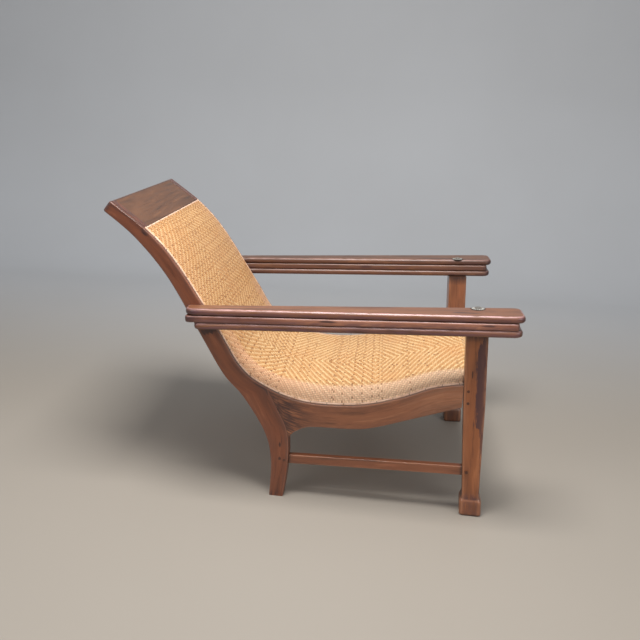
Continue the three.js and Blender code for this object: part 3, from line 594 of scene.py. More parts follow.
def stileShape():
    # down the lip from the top, down the joint's shoulder and down the front of the leg; above the mat
    # the lip is plain, and the top end is rounded over
    drawn, ends = corner(stile["roundRows"], stile["endRound"])
    ends = ends / seatLength
    plain = np.linspace(ends[-1], headShare - stile["bedStep"] / seatLength, stile["plainRows"])[1:]
    above = np.concatenate([ends, plain, np.linspace(headShare, jointShare, stile["bedRows"])])
    low = np.vstack([jointHigh, jointLow, smoothLine(legFront, np.linspace(0, 1, 40))])
    below = alongLine(low, np.linspace(stile["legStart"], 1, stile["legRows"]))
    front = np.vstack([seatPlace(above), below])
    back = smoothLine(stileBehind, runOf(front) / runOf(front)[-1])
    shares = np.concatenate([above, np.full(len(below), jointShare)])
    bedded = np.concatenate([above >= headShare, np.zeros(len(below), bool)])
    along = runOf((front + back) / 2)
    rings, grain, wear = plankShape(front, back, bedded, shares, along)
    kept = np.ones(len(rings))
    kept[:len(drawn)] -= drawn / (plank["thickness"] / 2)
    centre = rings.mean(axis=1, keepdims=True)
    rings = centre + (rings - centre) * kept[:, None, None]
    for distance, kind in ((along, "topVarnish"), (along, "fadingVarnish"),
                           (along[-1] - along, "heelVarnish")):
        raiseWear(wear, "varnish", graded(distance, stile[kind])[:, None])
    aboveMat, onLip = shares < headShare, plankSection()[0] == 0
    raiseWear(wear, "varnish", stile["lipVarnish"] * aboveMat[:, None] * onLip)
    wear[aboveMat, :, wearChannels["rubbed"]] *= stile["lipRubbed"]
    return rings, grain, wear


def railShape():
    # from the joint to the front leg: the seat line above, and below a curve that hangs from it and
    # ends in the bracket under the joint
    bracket = (legFront[0][0] + rail["bracketGap"], legFront[0][1])
    endGap = rail["endGap"] / seatLength
    shares = np.linspace(jointShare + endGap, frontShare - endGap, rail["rows"])
    under = [bracket]
    for share, depth in rail["under"]:
        run = between(bracket[0], seatFront, share)
        under.append((run, seatHeight(run) - rail["depth"] * depth))
    low = np.vstack([jointLow + (rail["endGap"], 0), smoothLine(under, np.linspace(0, 1, 200))])
    way = np.linspace(0, 1, rail["rows"])
    bottom = alongLine(low, way)
    bottom[-1, 0] = seatFront - rail["lowGap"]
    along = way * runOf(low)[-1]
    rings, grain, wear = plankShape(seatPlace(shares), bottom, np.ones(len(way), bool), shares, along)
    for kind in ("rubbed", "varnish"):
        raiseWear(wear, kind, graded(along, rail[kind])[:, None])
    return rings, grain, wear


# dark knots and stains; the third mark, just under the arm's base board, is partly dirt and partly painted
# shade
stileMarksAndShade = [((0.859, 0.0245, 0), (0.006, 0.005, 0.03)), ((0.818, 0.024, 0), (0.008, 0.004, 0.03)),
              ((0.434, 0.024, 0), (0.011, 0.034, 0.03)), ((0.121, 0.006, 0), (0.013, 0.007, 0.03)),
              ((0.64, 0.006, 0), (0.03, 0.005, 0.03))]
stileWood = woodFinish("teak_stile", "stile", figured=0.45, marks=stileMarksAndShade)
skinPair("rear_leg_and_stile", stileShape(), stileWood, "teak_frame")
skinPair("seat_rail", railShape(), woodFinish("teak_rail", "rail", figured=0.55), "teak_frame")
print("side frames")


# Front leg and stretcher

leg = {
    "ankleWidth": 46.0, "taperStart": 330.0, "ankle": 64.0, "footWidth": 60.0, "corner": 2.6,
    "footCorner": 8.0, "footCornerTop": 50.0, "slantAbove": 520.0, "turns": 5,
    # ranges of height and the number of rings in each
    "shaft": [(528.0, 526.5, 2), (500.0, 330.0, 16), (310.0, 67.0, 26)],
    # height above the floor, and how much narrower than the foot the leg is there
    "foot": [(64, 14), (59, 12.6), (51, 7.4), (48.8, 5.8), (46.5, 3.4), (44, 1.4), (41.5, 0.2), (30, 0),
             (18, 0), (8, 0), (5.2, 0.3), (2.4, 1.8), (0.6, 4.4), (0, 6)],
    "rubbed": [(0, 0), (2, 0.3), (40, 0), (46, 0.9), (50, 0)],
    "varnish": [(0, 0.9), (20, 0.6), (46, 0.75), (52, 0.9), (70, 0), (500, 0), (524, 1)],
    "dirt": [(0, 0.9), (3, 0.5), (8, 0), (46, 0), (52, 0.5), (64, 0), (520, 0), (527, 0.8)],
}
stretcher = {
    "level": 113.0, "height": 26.0, "width": 20.0, "slope": math.radians(1.9), "corner": 0.16, "rows": 60,
    "dirt": [(51, 0.8), (55, 0.3), (60, 0), (526, 0), (530, 0.3), (533, 0.8)],
}


def squareLoop(half, ease, turns):
    # square with rounded corners, and how rubbed each of its points is
    turn = np.linspace(0, math.pi / 2, turns)
    loop, arris = [], []
    for quarter in range(4):
        angle = turn + quarter * math.pi / 2
        cx, cy = np.sign(np.cos(angle.mean())), np.sign(np.sin(angle.mean()))
        for a in angle:
            loop.append(((half - ease) * cx + ease * math.cos(a), (half - ease) * cy + ease * math.sin(a)))
            arris.append(0.8)
        ax, ay = math.cos(angle[-1]), math.sin(angle[-1])
        for s in (0.8, 0.35, -0.35, -0.8):
            loop.append((half * ax + s * (half - ease) * ay, half * ay - s * (half - ease) * ax))
            arris.append(0.15 if abs(s) > 0.5 else 0.0)
    return np.array(loop), np.array(arris)


def legWidth(height):
    # the leg tapers evenly down to its ankle
    taper = (leg["taperStart"] - height) / (leg["taperStart"] - leg["ankle"])
    return between(stance["legWidth"], leg["ankleWidth"], np.clip(taper, 0, 1))


def legShape():
    # square rings up the leaning leg, with the block foot's profile below the ankle; the top is cut along
    # the arm
    foot, drawn = np.array(leg["foot"]).T
    shaft = np.concatenate([np.linspace(*stretch) for stretch in leg["shaft"]])
    heights = np.concatenate([shaft, foot])
    width = np.concatenate([legWidth(shaft), leg["footWidth"] - drawn])
    ease = graded(heights, [(leg["footCornerTop"], leg["footCorner"]), (leg["ankle"], leg["corner"])])
    loops = [squareLoop(w / 2, e, leg["turns"]) for w, e in zip(width, ease)]
    flat = np.stack([loop for loop, _ in loops]) + waver(heights[:, None, None], 0.25, 0.5)
    slant = np.where(heights > leg["slantAbove"], math.tan(stance["lean"]), 0)[:, None]
    height = heights[:, None] + flat[..., 0] * slant
    rings = onFrame(legRun(heights)[:, None] + flat[..., 0], pivotDepth + flat[..., 1], height)
    grain = stacked(height, flat[..., 0], flat[..., 1]) * millimetre
    rubbed, varnish, dirt = (graded(heights, leg[kind])[:, None] for kind in ("rubbed", "varnish", "dirt"))
    return rings, grain, np.clip(wearOn(rings, loops[0][1] + rubbed, varnish, dirt), 0, 1)


def stretcherShape():
    # from the front of the rear leg to the back of the front leg, rising forward
    half, level = stretcher["height"] / 2, stretcher["level"]
    heelCurve = smoothLine(legFront, np.linspace(0, 1, 400))
    beside = np.abs(heelCurve[:, 1] - level) < half
    back = heelCurve[beside, 0].max() + fit
    top = level + half + (stance["pivotRun"] - back) * math.tan(stretcher["slope"])
    front = legRun(top) - legWidth(top) / 2 - fit
    run = np.linspace(back, front, stretcher["rows"])
    loop, arris = squareLoop(1.0, stretcher["corner"], 4)
    across, up = loop[:, 0] * stretcher["width"] / 2, loop[:, 1] * half
    rise = (run - back) * math.tan(stretcher["slope"])
    depth = plank["thickness"] / 2 + across + waver(run[:, None], 0.2, 0.8)
    runs = run[:, None] + up * np.linspace(0, -math.tan(stance["lean"]), len(run))[:, None]
    rings = onFrame(runs, depth, level + rise[:, None] + up)
    grain = stacked(run[:, None], up, across) * millimetre
    return rings, grain, wearOn(rings, arris, 0, graded(run, stretcher["dirt"])[:, None])


legMarks = [((0.413, -0.008, -0.028), (0.011, 0.0024, 0.02))]
legWood = woodFinish("teak_front_leg", "front_leg", remains=True, figured=0.7, marks=legMarks)
cleanLegWood = woodFinish("teak_front_leg_clean", "clean_leg")
skinPair("front_leg", legShape(), legWood, "teak_leg", other=cleanLegWood)
skinPair("side_stretcher", stretcherShape(), woodFinish("teak_stretcher", "stretcher"), "teak_frame")
print("legs and stretchers")


# Arms

arm = {
    "board": 18.5, "gap": 0.6, "front": 114.0, "width": 101.0, "innerReach": 18.0, "rearWidth": 54.0,
    "bendAhead": 5.0, "fitCorner": 9.0, "steps": 14, "noseTurns": 9, "straight": 40.0,
    # rings of the flat faces, further in than the nose
    "flatRings": [5.0, 1.2],
    # by place along the arm from the pivot: both ends are varnished and dirty
    "varnish": [(-742.4, 0.9), (-728, 0), (84, 0), (96.6, 0.9)],
    "dirt": [(-752, 0.55), (-738, 0), (94, 0), (106, 0.35)],
}
boards = {
    "top": {"layer": 0, "nose": 8, "short": 0, "front": 114, "relief": 0, "radii": (30, 26), "grain": 0.4},
    "leaf": {"layer": 1, "nose": 5, "short": 0, "front": 99, "relief": 2, "radii": (14, 14), "grain": 1.1},
    "base": {"layer": 2, "nose": 8, "short": 24, "front": 109, "relief": 0, "radii": (14, 26), "grain": 1.9},
}
armPitch = arm["board"] + arm["gap"]
armStack = 2 * armPitch + arm["board"]
pivotOut = -pivot[0]
pivotAhead = heelPlace - pivot[1]


def onArm(x, out, down):
    # x forward from the pivot along the leaning arm, out from the chair's middle, down from the top
    lean = stance["lean"]
    y = pivot[1] - math.cos(lean) * x - math.sin(lean) * down
    z = pivot[2] + math.sin(lean) * x - math.cos(lean) * down
    return stacked(-out, y, z)


def armX(run, down):
    # place along the arm of a run on the frame's outer face
    ahead = run * math.cos(stance["splay"]) - pivotAhead
    return (ahead - down * math.sin(stance["lean"])) / math.cos(stance["lean"])


def frameOut(x, down):
    # how far out the frame's outer face is, at a place along the arm
    ahead = x * math.cos(stance["lean"]) + down * math.sin(stance["lean"])
    return halfWidth((ahead + pivotAhead) / math.cos(stance["splay"]))


def armCrossing(line, down):
    # place along the arm where a line on the frame, followed from its top, comes down past a level of it
    ahead = line[:, 0] * math.cos(stance["splay"]) - pivotAhead
    height = stance["armTop"] + ahead * math.tan(stance["lean"]) - down / math.cos(stance["lean"])
    return armX(np.interp(0, height - line[:, 1], line[:, 0]), down)


armRear = armCrossing(smoothLine(stileBehind, np.linspace(0, 1, 3001)), armStack / 2)
armBend = armCrossing(seatFine[seatGrid < jointShare], armStack) + arm["bendAhead"]


def boardCorners(values):
    # beside the frame from the rear to the bend, and from there to the inner front corner
    rear, front = armRear + values["short"], values["front"]
    down = values["layer"] * armPitch + arm["board"]
    clear, fitCorner = fit + values["relief"], arm["fitCorner"]
    innerFront = pivotOut - arm["innerReach"]
    outer = [(armRear, frameOut(armRear, 0) + arm["rearWidth"]), (arm["front"], innerFront + arm["width"])]
    rearCorner, frontCorner = values["radii"]
    return [(rear, frameOut(rear, down) + clear, fitCorner), (rear, graded(rear, outer), rearCorner),
            (front, graded(front, outer), frontCorner), (front, innerFront, frontCorner),
            (armBend, frameOut(armBend, down) + clear, fitCorner)]


def insetCorners(corners, distance):
    # every side of the outline moved in by the distance, with tighter corners
    moved = []
    for i, (x, y, radius) in enumerate(corners):
        here = np.array([x, y])
        enter = here - corners[i - 1][:2]
        leave = np.array(corners[(i + 1) % len(corners)][:2]) - here
        enter, leave = enter / np.linalg.norm(enter), leave / np.linalg.norm(leave)
        diagonal = np.array([enter[1] + leave[1], -enter[0] - leave[0]])
        here = here + diagonal * distance / (1 + enter @ leave)
        moved.append((here[0], here[1], max(radius - distance, 1)))
    return moved


def towards(here, other, distance):
    # the point at a distance from here on the way to another point
    return here + (other - here) / np.linalg.norm(other - here) * distance


def outline(corners):
    # each corner is a parabola between the ends of its two radii, with points along the straights too
    loop = []
    t = np.linspace(0, 1, arm["steps"])[:, None]
    for i, (x, y, radius) in enumerate(corners):
        ahead = corners[(i + 1) % len(corners)]
        here, before, after = np.array([x, y]), np.array(corners[i - 1][:2]), np.array(ahead[:2])
        enter, leave = towards(here, before, radius), towards(here, after, radius)
        loop.append((1 - t) ** 2 * enter + 2 * t * (1 - t) * here + t * t * leave)
        arrive = towards(after, here, ahead[2])
        count = max(2, int(np.linalg.norm(arrive - leave) / arm["straight"]))
        loop.append(between(leave, arrive, np.linspace(0, 1, count + 1)[1:-1, None]))
    return np.vstack(loop)


def boardShape(values):
    # the board's outline, drawn in ring by ring from the upper face round the nose to the lower face;
    # the nose has a painted highlight above and painted shade below, and the faces in the gaps painted shade
    nose, thick, seed = values["nose"], arm["board"], values["grain"]
    inset, depth = corner(arm["noseTurns"], nose)
    bend = np.sin(np.linspace(0, math.pi / 2, arm["noseTurns"]))
    flatRings = nose + np.array(arm["flatRings"])
    inset = np.concatenate([flatRings, inset, inset[::-1], flatRings[::-1]])
    depth = np.concatenate([[0, 0], depth, thick - depth[::-1], [thick, thick]])[:, None]
    bend = np.concatenate([[0, 0], bend, bend[::-1], [0, 0]])[:, None]
    flat = np.stack([outline(insetCorners(boardCorners(values), distance)) for distance in inset])
    x, out = flat[..., 0], flat[..., 1]
    out = out + waver(x + out * 0.7, 0.35, seed) * bend
    rings = onArm(x, out, values["layer"] * armPitch + depth)
    grain = stacked(x, out, depth) * millimetre + (seed, seed * 0.7, seed * 0.2)
    upper = depth < thick / 2
    ends = graded(x, arm["varnish"]) * bend
    # a painted highlight along the upper half of the nose, weaker at the ends
    rubbed = np.where(upper, np.exp(-((bend - 0.5) / 0.27) ** 2), 0.08 * bend) * (1 - 0.6 * ends)
    # on the lower half of the nose the old varnish is painted shade; at both ends it is old varnish
    varnish = np.maximum(np.where(upper, 0.3 * bend ** 3, 0.8 * bend), ends)
    # painted shade on the faces that lie in the gaps between the boards, not on the top board's upper face
    gapShade = np.where(inset[:, None] > nose + 0.1, 0.3, 0.95) * (1 - bend) ** 2
    shown = upper & (values["layer"] == 0)
    dirt = np.maximum(np.where(shown, 0, gapShade), graded(x, arm["dirt"]) * bend)
    return rings, grain, wearOn(rings, rubbed, varnish, dirt)


leafMarks = [((0.711, 1.1, 0.226), (0.026, 1.0, 0.0034)), ((1.122, 1.1, 0.226), (0.022, 1.0, 0.0034))]
armWood = woodFinish("teak_arm", "arm", gloss=0.38, coat=0.25)
leafWood = woodFinish("teak_leaf", "leaf", gloss=0.38, marks=leafMarks)
# the left arm boards take a darker copy of the arm's finish: painted shade
shadedLeftArmWood = woodFinish("teak_left_arm_shaded", "left_arm", gloss=0.42, coat=0.2)
for node, board, wood, body in (("arm_top_board", "top", armWood, "chair_frame"),
                                ("arm_base_board", "base", armWood, "chair_frame"),
                                ("leg_rest_leaf", "leaf", leafWood, "leg_rest")):
    skinPair(node, boardShape(boards[board]), wood, "teak_arm", body=body, other=shadedLeftArmWood)
print("arm boards")


# Pivot rosette

rosette = {
    "radius": 20.0, "thickness": 3.0, "sink": 1.5, "flutes": 16, "around": 192, "drawnIn": 0.03, "rim": 0.9,
    "profile": [(0.32, 0.0), (1.0, 0.0), (1.0, 0.42), (0.985, 0.56), (0.95, 0.68), (0.9, 0.78), (0.84, 0.86),
                (0.78, 0.91), (0.7, 0.95), (0.6, 0.985), (0.5, 1.0), (0.42, 1.0), (0.36, 0.97), (0.32, 0.9)],
    "notch": [(0.4, 0), (0.55, 0.55), (0.85, 0.9), (1.0, 0.5)], "notchAbove": 0.4,
    # the rim from this share out is painted dark: painted shade that stands for the recess round the rosette
    "shadedRimFrom": 0.86, "dirt": 0.9,
}


def rosetteShape():
    # lathe profile turned about the pivot; radial notches are cut as sharp cosine lobes
    share, level = np.array(rosette["profile"]).T[..., None]
    angle = np.linspace(0, 2 * math.pi, rosette["around"], endpoint=False)
    lobe = np.clip(np.cos(angle * rosette["flutes"]), 0, 1) ** 3
    cut = graded(share, rosette["notch"]) * (level > rosette["notchAbove"]) * lobe
    radius = rosette["radius"] * share * (1 - rosette["drawnIn"] * lobe * (share > rosette["rim"]))
    down = rosette["sink"] - rosette["thickness"] * level + cut
    rings = onArm(radius * np.cos(angle), pivotOut + radius * np.sin(angle), down)
    # dark in the deep notches, and painted shade round the rim
    dirt = np.maximum(cut, rosette["dirt"] * (share > rosette["shadedRimFrom"]))
    return rings, None, wearOn(rings, dirt=dirt)


def metalFinish(name, bright, dull, roughness):
    # bright metal with dull spots, and dark where the wear attribute says so: where a notch is deep, and
    # round the rim as painted shade
    finish = Finish(name, Metallic=0.8)
    place = finish.objectPlace()
    spots = finish.noise(place, (260, 260, 260), 4, 0.65)
    soft = finish.noise(place, (55, 55, 55), 3, 0.5)
    finish.colour = finish.mix(spots.step(0.4, 0.68), bright, dull)
    finish.lay(finish.parts(finish.attribute("wear"))[2].step(0.1, 0.6), (0.02, 0.017, 0.014, 1))
    return finish.done(soft * 0.3 + roughness, spots, 0.3, 0.0002)


silver = metalFinish("rosette_silver", (0.62, 0.61, 0.57, 1), (0.3, 0.28, 0.25, 1), 0.38)
steel = metalFinish("bolt_steel", (0.45, 0.43, 0.4, 1), (0.16, 0.13, 0.11, 1), 0.28)
skinPair("pivot_rosette", rosetteShape(), silver, "rosette_metal", kind="metal", closed=True, crease=50)


def dress(material, *words):
    # gives the CAD's own pieces whose names hold one of the words a material
    for node in frame["nodes"].values():
        if any(word in node.name for word in words):
            node.data.materials.clear()
            node.data.materials.append(material)


dress(steel, "pivot_bolt", "arm_screw")
print("rosettes")


# Head panel, hidden rails and pegs

head = {
    "setback": 1.0, "thickness": 24.0, "arris": 3.5, "lowArris": 1.2, "varnished": 7.0,
    "rows": 36, "columns": 60,
}
hiddenRail = {"arris": 1.2, "segments": 2, "bevelFrom": 28.0, "sharpFrom": 40.0, "doubles": 0.02, "flat": 1.0}


def headShape():
    # strip along the seat line, carried across the chair; its arrises are rounded
    start, end, deep = head["setback"], seat["headWidth"] - fit, -head["thickness"]
    r, low = head["arris"], head["lowArris"]
    flat = np.linspace(start + r, end - low, head["rows"])
    # distance along the seat line, lift from it and how rubbed it is
    rows = [(at, 0, 0) for at in flat]
    lowTurn, topTurn = np.linspace(0.3, math.pi / 2, 4), np.linspace(0, math.pi / 2, 6)[:-1]
    rows += [(end - low * (1 - math.sin(a)), -low * (1 - math.cos(a)), 0.15) for a in lowTurn]
    rows += [(end, deep + 1, 0), (end - 1, deep, 0)]
    rows += [(at, deep, 0) for at in flat[::-6]]
    rows += [(start, deep + r, 0.1)]
    rows += [(start + r * (1 - math.cos(a)), -r * (1 - math.sin(a)), 0.4) for a in topTurn]
    along, lift, rubbed = np.array(rows, float).T
    place = seatPlace(along / seatLength, lift)
    reach = halfWidth(place[:, 0]) - (plank["thickness"] + fit) / math.cos(stance["splay"])
    x = np.linspace(-1, 1, head["columns"])[:, None] * reach
    rings = acrossChair(place[:, 0], x, place[:, 1])
    varnish = np.where(along < head["varnished"], 0.9, 0)
    dirt = graded(along, [(end - 2.5, 0), (end - 0.5, 0.8)])
    return rings, stacked(x, along, lift) * millimetre, wearOn(rings, rubbed, varnish, dirt)


def softened(node, material, slot):
    # copy of a solid with its doubles merged, flat faces joined and every arris eased
    made = addObject(f"{node}_wood", frame["nodes"][node].data.copy())
    bpy.context.view_layer.objects.active = made
    for other in bpy.context.selected_objects:
        other.select_set(False)
    made.select_set(True)
    bpy.ops.object.mode_set(mode="EDIT")
    bpy.ops.mesh.select_all(action="SELECT")
    bpy.ops.mesh.remove_doubles(threshold=hiddenRail["doubles"] * millimetre)
    bpy.ops.mesh.dissolve_limited(angle_limit=math.radians(hiddenRail["flat"]))
    bpy.ops.object.mode_set(mode="OBJECT")
    made.data.materials.clear()
    made.data.materials.append(material)
    bevel = made.modifiers.new("arris", "BEVEL")
    bevel.width, bevel.segments = hiddenRail["arris"] * millimetre, hiddenRail["segments"]
    bevel.angle_limit = math.radians(hiddenRail["bevelFrom"])
    made.data.shade_smooth()
    made.data.set_sharp_from_angle(angle=math.radians(hiddenRail["sharpFrom"]))
    settle(made, "chair_frame", slot, node)


headWood = woodFinish("teak_head", "head", gloss=0.42, coat=0.2)
skin("head_panel_wood", headShape(), headWood, "chair_frame", "teak_head", "head_panel")
hiddenWood = woodFinish("teak_hidden", "hidden", carried=False, gloss=0.5, coat=0.0)
for node in ("rear_cross_rail", "front_rail"):
    softened(node, hiddenWood, "teak_frame")
dress(woodFinish("teak_peg", "peg", carried=False, gloss=0.45, coat=0.1), "peg")
print("head panel, rails and pegs")


# Woven cane mat

mat = {
    "cellsAlong": 244, "cellsAcross": 78, "noseCells": 18, "thickness": 3.2, "edge": matStart + fit,
    "noseEdge": stance["legWidth"] + 0.2, "noseBack": 2.0, "noseStep": 0.4, "endGap": 0.65, "roll": 2.2,
    "rollWidth": 5.0, "swell": 0.9, "relief": 0.42, "drift": 1.3, "centreAcross": -7, "centreAlong": 176,
    "turn": 58, "coarse": 4, "borderWidth": 100.0,
    # by distance in from the frame's outer face
    "slack": [(60, 0), (140, 1)],
}


def overlies(i, j):
    # two over, two under, and the sum of the distances from the lines where the weave turns makes the
    # diamonds: true where a lengthwise strip lies on top
    away = np.mod(j - mat["centreAlong"], 2 * mat["turn"])
    away = np.minimum(away, 2 * mat["turn"] - away)
    return np.mod(np.abs(i - mat["centreAcross"]) + away, 4) < 2


def weaveRelief(rows, columns):
    # two steps of the grid to a strip. A strip stands up at its middle and along its float, and goes
    # down at its edges and where it dives under the next strips
    a, b = np.arange(rows)[:, None], np.arange(columns)[None, :]
    j, i = (a - 1) // 2, (b - 1) // 2 - mat["cellsAcross"] // 2
    betweenRows, betweenColumns = a % 2 == 0, b % 2 == 0
    here = overlies(i, j)
    alongFloat = betweenRows & ~betweenColumns & here & overlies(i, j + 1)
    acrossFloat = betweenColumns & ~betweenRows & ~here & ~overlies(i + 1, j)
    level = np.where(betweenRows | betweenColumns, -0.7, 0.55)
    return mat["relief"] * np.where(alongFloat | acrossFloat, 1.0, level)


def matGrid():
    # share along and distance across: the sheet lies on the rise over the seat line, rolls down to the
    # groove at its edges and swells a little where the strips are slack
    start = (seat["headWidth"] + seat["groove"] + fit) / seatLength
    noseShare = shareAt(seatFront - mat["noseBack"])
    wide = np.linspace(start, noseShare, 2 * (mat["cellsAlong"] - mat["noseCells"]) + 1)
    step, endGap = mat["noseStep"] / seatLength, mat["endGap"] / seatLength
    nose = np.linspace(noseShare + step, 1 - endGap, 2 * mat["noseCells"])
    share = np.concatenate([wide, nose])[:, None]
    edge = np.repeat([mat["edge"], mat["noseEdge"]], [len(wide), len(nose)])[:, None]
    spread = np.linspace(-1, 1, 2 * mat["cellsAcross"] + 1)
    half = halfWidth(seatPlace(share)[..., 0])
    along = share * seatLength
    x = spread * (half - edge)
    x = x + mat["drift"] * (1 - spread ** 8) * np.sin(along * 0.031 + np.sin(x * 0.045) * 1.7)
    ends = np.arange(len(share))[:, None] / (len(wide) - 1)
    calm = np.sin(np.clip(ends, 0, 1) * math.pi) ** 0.3
    wander = mat["drift"] / seatLength * calm * np.sin(x * 0.027 + 2 * np.sin(along * 0.013))
    inset = half - np.abs(x)
    swell = np.sin(along * 0.019 + 1) * np.sin(x * 0.016 + along * 0.007)
    swell = swell + 0.5 * np.sin(along * 0.043 + 2) * np.sin(x * 0.037 + 0.6)
    inner = graded(inset, mat["slack"])
    under = matLift(share, inset) + mat["swell"] * (swell * inner + inner)
    clear = np.clip((inset - edge) / mat["rollWidth"], 0, 1)
    relief = weaveRelief(*x.shape) * clear - mat["relief"]
    over = under + mat["thickness"] - mat["roll"] * (1 - clear) ** 2 + relief
    return share + wander, x, inset, under, over


def gridIndex(rows, columns, first):
    # the numbers of a grid's points, counted row by row
    return np.arange(rows * columns).reshape(rows, columns) + first


def rimLoop(index):
    # once round the edge of a grid
    return np.concatenate([index[0, :-1], index[:-1, -1], index[-1, :0:-1], index[:0:-1, 0]]).tolist()


def matPiece():
    # woven top, a coarser underside, and a rim where each coarse step meets several fine ones
    share, x, inset, under, over = matGrid()
    coarse = mat["coarse"]
    upper, lower = seatPlace(share, over), seatPlace(share, under)
    top = acrossChair(upper[..., 0], x, upper[..., 1])
    low = acrossChair(lower[..., 0], x, lower[..., 1])[::coarse, ::coarse]
    fine, wide = gridIndex(*x.shape, 0), gridIndex(*low.shape[:2], x.size)
    faces = []
    for index in (fine, wide):
        a, b, c, d = index[:-1, :-1], index[:-1, 1:], index[1:, 1:], index[1:, :-1]
        turned = [a, d, c, b] if index is fine else [a, b, c, d]
        faces += np.stack(turned, -1).reshape(-1, 4).tolist()
    fine, wide = rimLoop(fine), rimLoop(wide)
    for k, here in enumerate(wide):
        row = [fine[(k * coarse + n) % len(fine)] for n in range(coarse + 1)]
        faces.append([*row, wide[(k + 1) % len(wide)], here])
    across = np.arange(x.shape[1]) / 2 - mat["cellsAcross"] / 2
    weave = stacked(across, np.arange(x.shape[0])[:, None] / 2, 0.0)
    border = stacked(np.clip((inset - matStart) / mat["borderWidth"], 0, 1), share, 0.0)
    pairs = ((top, low), (weave, weave[::coarse, ::coarse]), (border, border[::coarse, ::coarse]))
    points, weave, border = (np.concatenate([a.reshape(-1, 3), b.reshape(-1, 3)]) for a, b in pairs)
    return points * millimetre, faces, weave, border


def caneFinish(name):
    # the same weave as the relief, read from the strip numbers across (u) and along (v): each strip is
    # rounded and arched over its float, with painted shade in the gap at its sides and where it dives
    finish = Finish(name, IOR=1.48)
    place = finish.attribute("grain")
    u, v, _ = finish.parts(place)
    i, j = finish.maths("FLOOR", u), finish.maths("FLOOR", v)
    fromU, fromV = i - mat["centreAcross"], j - mat["centreAlong"]
    awayU, awayV = abs(fromU), finish.maths("PINGPONG", fromV, mat["turn"])
    riseU = abs(fromU + 1.0) - awayU
    riseV = finish.maths("PINGPONG", fromV + 1.0, mat["turn"]) - awayV
    k = finish.maths("MODULO", awayU + awayV, 4.0)
    lengthwise = finish.maths("LESS_THAN", k, 1.5)
    partU, partV = u - i, v - j

    def strip(across, ahead, rise, start):
        # height of one strip, and how far it is from its sides and ends, where shade is painted
        side = abs(across * 2.0 - 1.0)
        way = k - start + (rise * (ahead - 0.5) + 0.5)
        arch = finish.maths("SINE", way / 2.0 * math.pi)
        height = (1.0 - finish.maths("POWER", side, 3.0)) * (arch * 0.6 + 0.4)
        return height, (1.0 - side.step(0.72, 1.0)) * arch.step(0.0, 0.4)

    def pick(long, cross):
        return finish.mix(lengthwise, cross, long, "FLOAT")

    longStrip, crossStrip = strip(partU, partV, riseV, 0.0), strip(partV, partU, riseU, 2.0)
    height, clear = (pick(long, cross) for long, cross in zip(longStrip, crossStrip))
    strand = pick(i, j + 517.3)
    chance = finish.add("ShaderNodeTexWhiteNoise", "Value", {"W": strand}, noise_dimensions="1D")
    cell = finish.add("ShaderNodeCombineXYZ", 0, {"X": i, "Y": j})
    spot = finish.add("ShaderNodeTexWhiteNoise", "Value", {"Vector": cell}, noise_dimensions="2D")
    inset, along, _ = finish.parts(finish.attribute("wear"))
    seated = along.step(0.3, 0.44)
    # each strand has its own tone, with stained floats and clouds; lengthwise floats are paler and
    # crosswise ones darker, partly the cane's own tone and partly painted light
    finish.colour = finish.ramp(chance, ((0.0, tone(194, 146, 90)), (0.5, tone(212, 167, 110)),
                                         (1.0, tone(234, 194, 138))))
    finish.lay(lengthwise * 0.66, tone(238, 206, 156))
    finish.lay((1.0 - lengthwise) * (0.66 - seated * 0.16), tone(182, 126, 70))
    finish.lay(spot * 0.34, tone(196, 140, 86))
    finish.lay(spot.step(0.95, 1.0) * 0.8, tone(126, 78, 44))
    finish.lay(finish.noise(place, (0.045, 0.03, 1), 4, 0.6).step(0.45, 0.75) * 0.4, tone(208, 144, 86))
    # the border is paler and pinker, most of all on the seat and towards the front: partly the cane's
    # own tone and partly painted light on its slope; the back is darker
    ragged = finish.noise(place, (0.2, 0.12, 1), 4, 0.6) - 0.5
    border = (1.0 - (ragged * 0.16 + inset).step(0.66, 0.88)) * (seated * 0.8 + 0.2)
    rubbed = finish.mix(along.step(0.4, 0.84), tone(218, 168, 136), tone(254, 216, 184))
    finish.lay(border * 0.6, rubbed)
    finish.lay(0.34 - seated * 0.34, tone(184, 134, 84))
    # painted shade in the gaps at the strips' sides and where they dive
    closed = 1.0 - (seated * 0.02 + 0.66) * (1.0 - clear)
    finish.colour = finish.mix(closed, tone(130, 84, 52), finish.colour)
    fibre = finish.noise(place, (9, 5, 1), 3, 0.6)
    return finish.done(chance * 0.16 + 0.4, height + fibre * 0.15, 0.8, 0.0008)


points, faces, weave, border = matPiece()
matSheet = makeMesh("cane_mat_woven", points, faces, caneFinish("cane_weave"), weave, border, crease=80)
settle(matSheet, "chair_frame", "cane", "cane_mat")
print("cane mat", len(faces), "faces")


# Cane beads

bead = {"half": 2.7, "turns": 9, "rows": 420, "headRows": 180, "endGap": 0.5, "pins": 46.0, "pinch": 0.45,
        "sway": 0.12, "grainRun": 280.0}


def beadLoop():
    # half round with a square lower half: distances across and up from its middle
    turn = np.linspace(0, math.pi, bead["turns"])
    rounded = [(math.cos(a), math.sin(a)) for a in turn]
    return bead["half"] * np.array([(-1, -1), (1, -1)] + rounded).T


def sideBeadShape():
    # half-round strip pressed into its groove, pinched a little at each pin
    across, up = beadLoop()
    along = np.linspace(seat["headWidth"], frontShare * seatLength - bead["endGap"], bead["rows"])[:, None]
    pinch = np.exp(-(((along + 11) % bead["pins"]) - bead["pins"] / 2) ** 2 / 6)
    middle = seat["lip"] + seat["groove"] / 2 + bead["sway"] * np.sin(along * 0.09)
    half = halfWidth(seatPlace(along / seatLength)[..., 0])
    place = seatPlace(along / seatLength, up - bead["pinch"] * pinch * (up > 0))
    rings = acrossChair(place[..., 0], middle + across - half, place[..., 1])
    return rings, stacked(along, across, up) * millimetre, wearOn(rings, dirt=pinch)


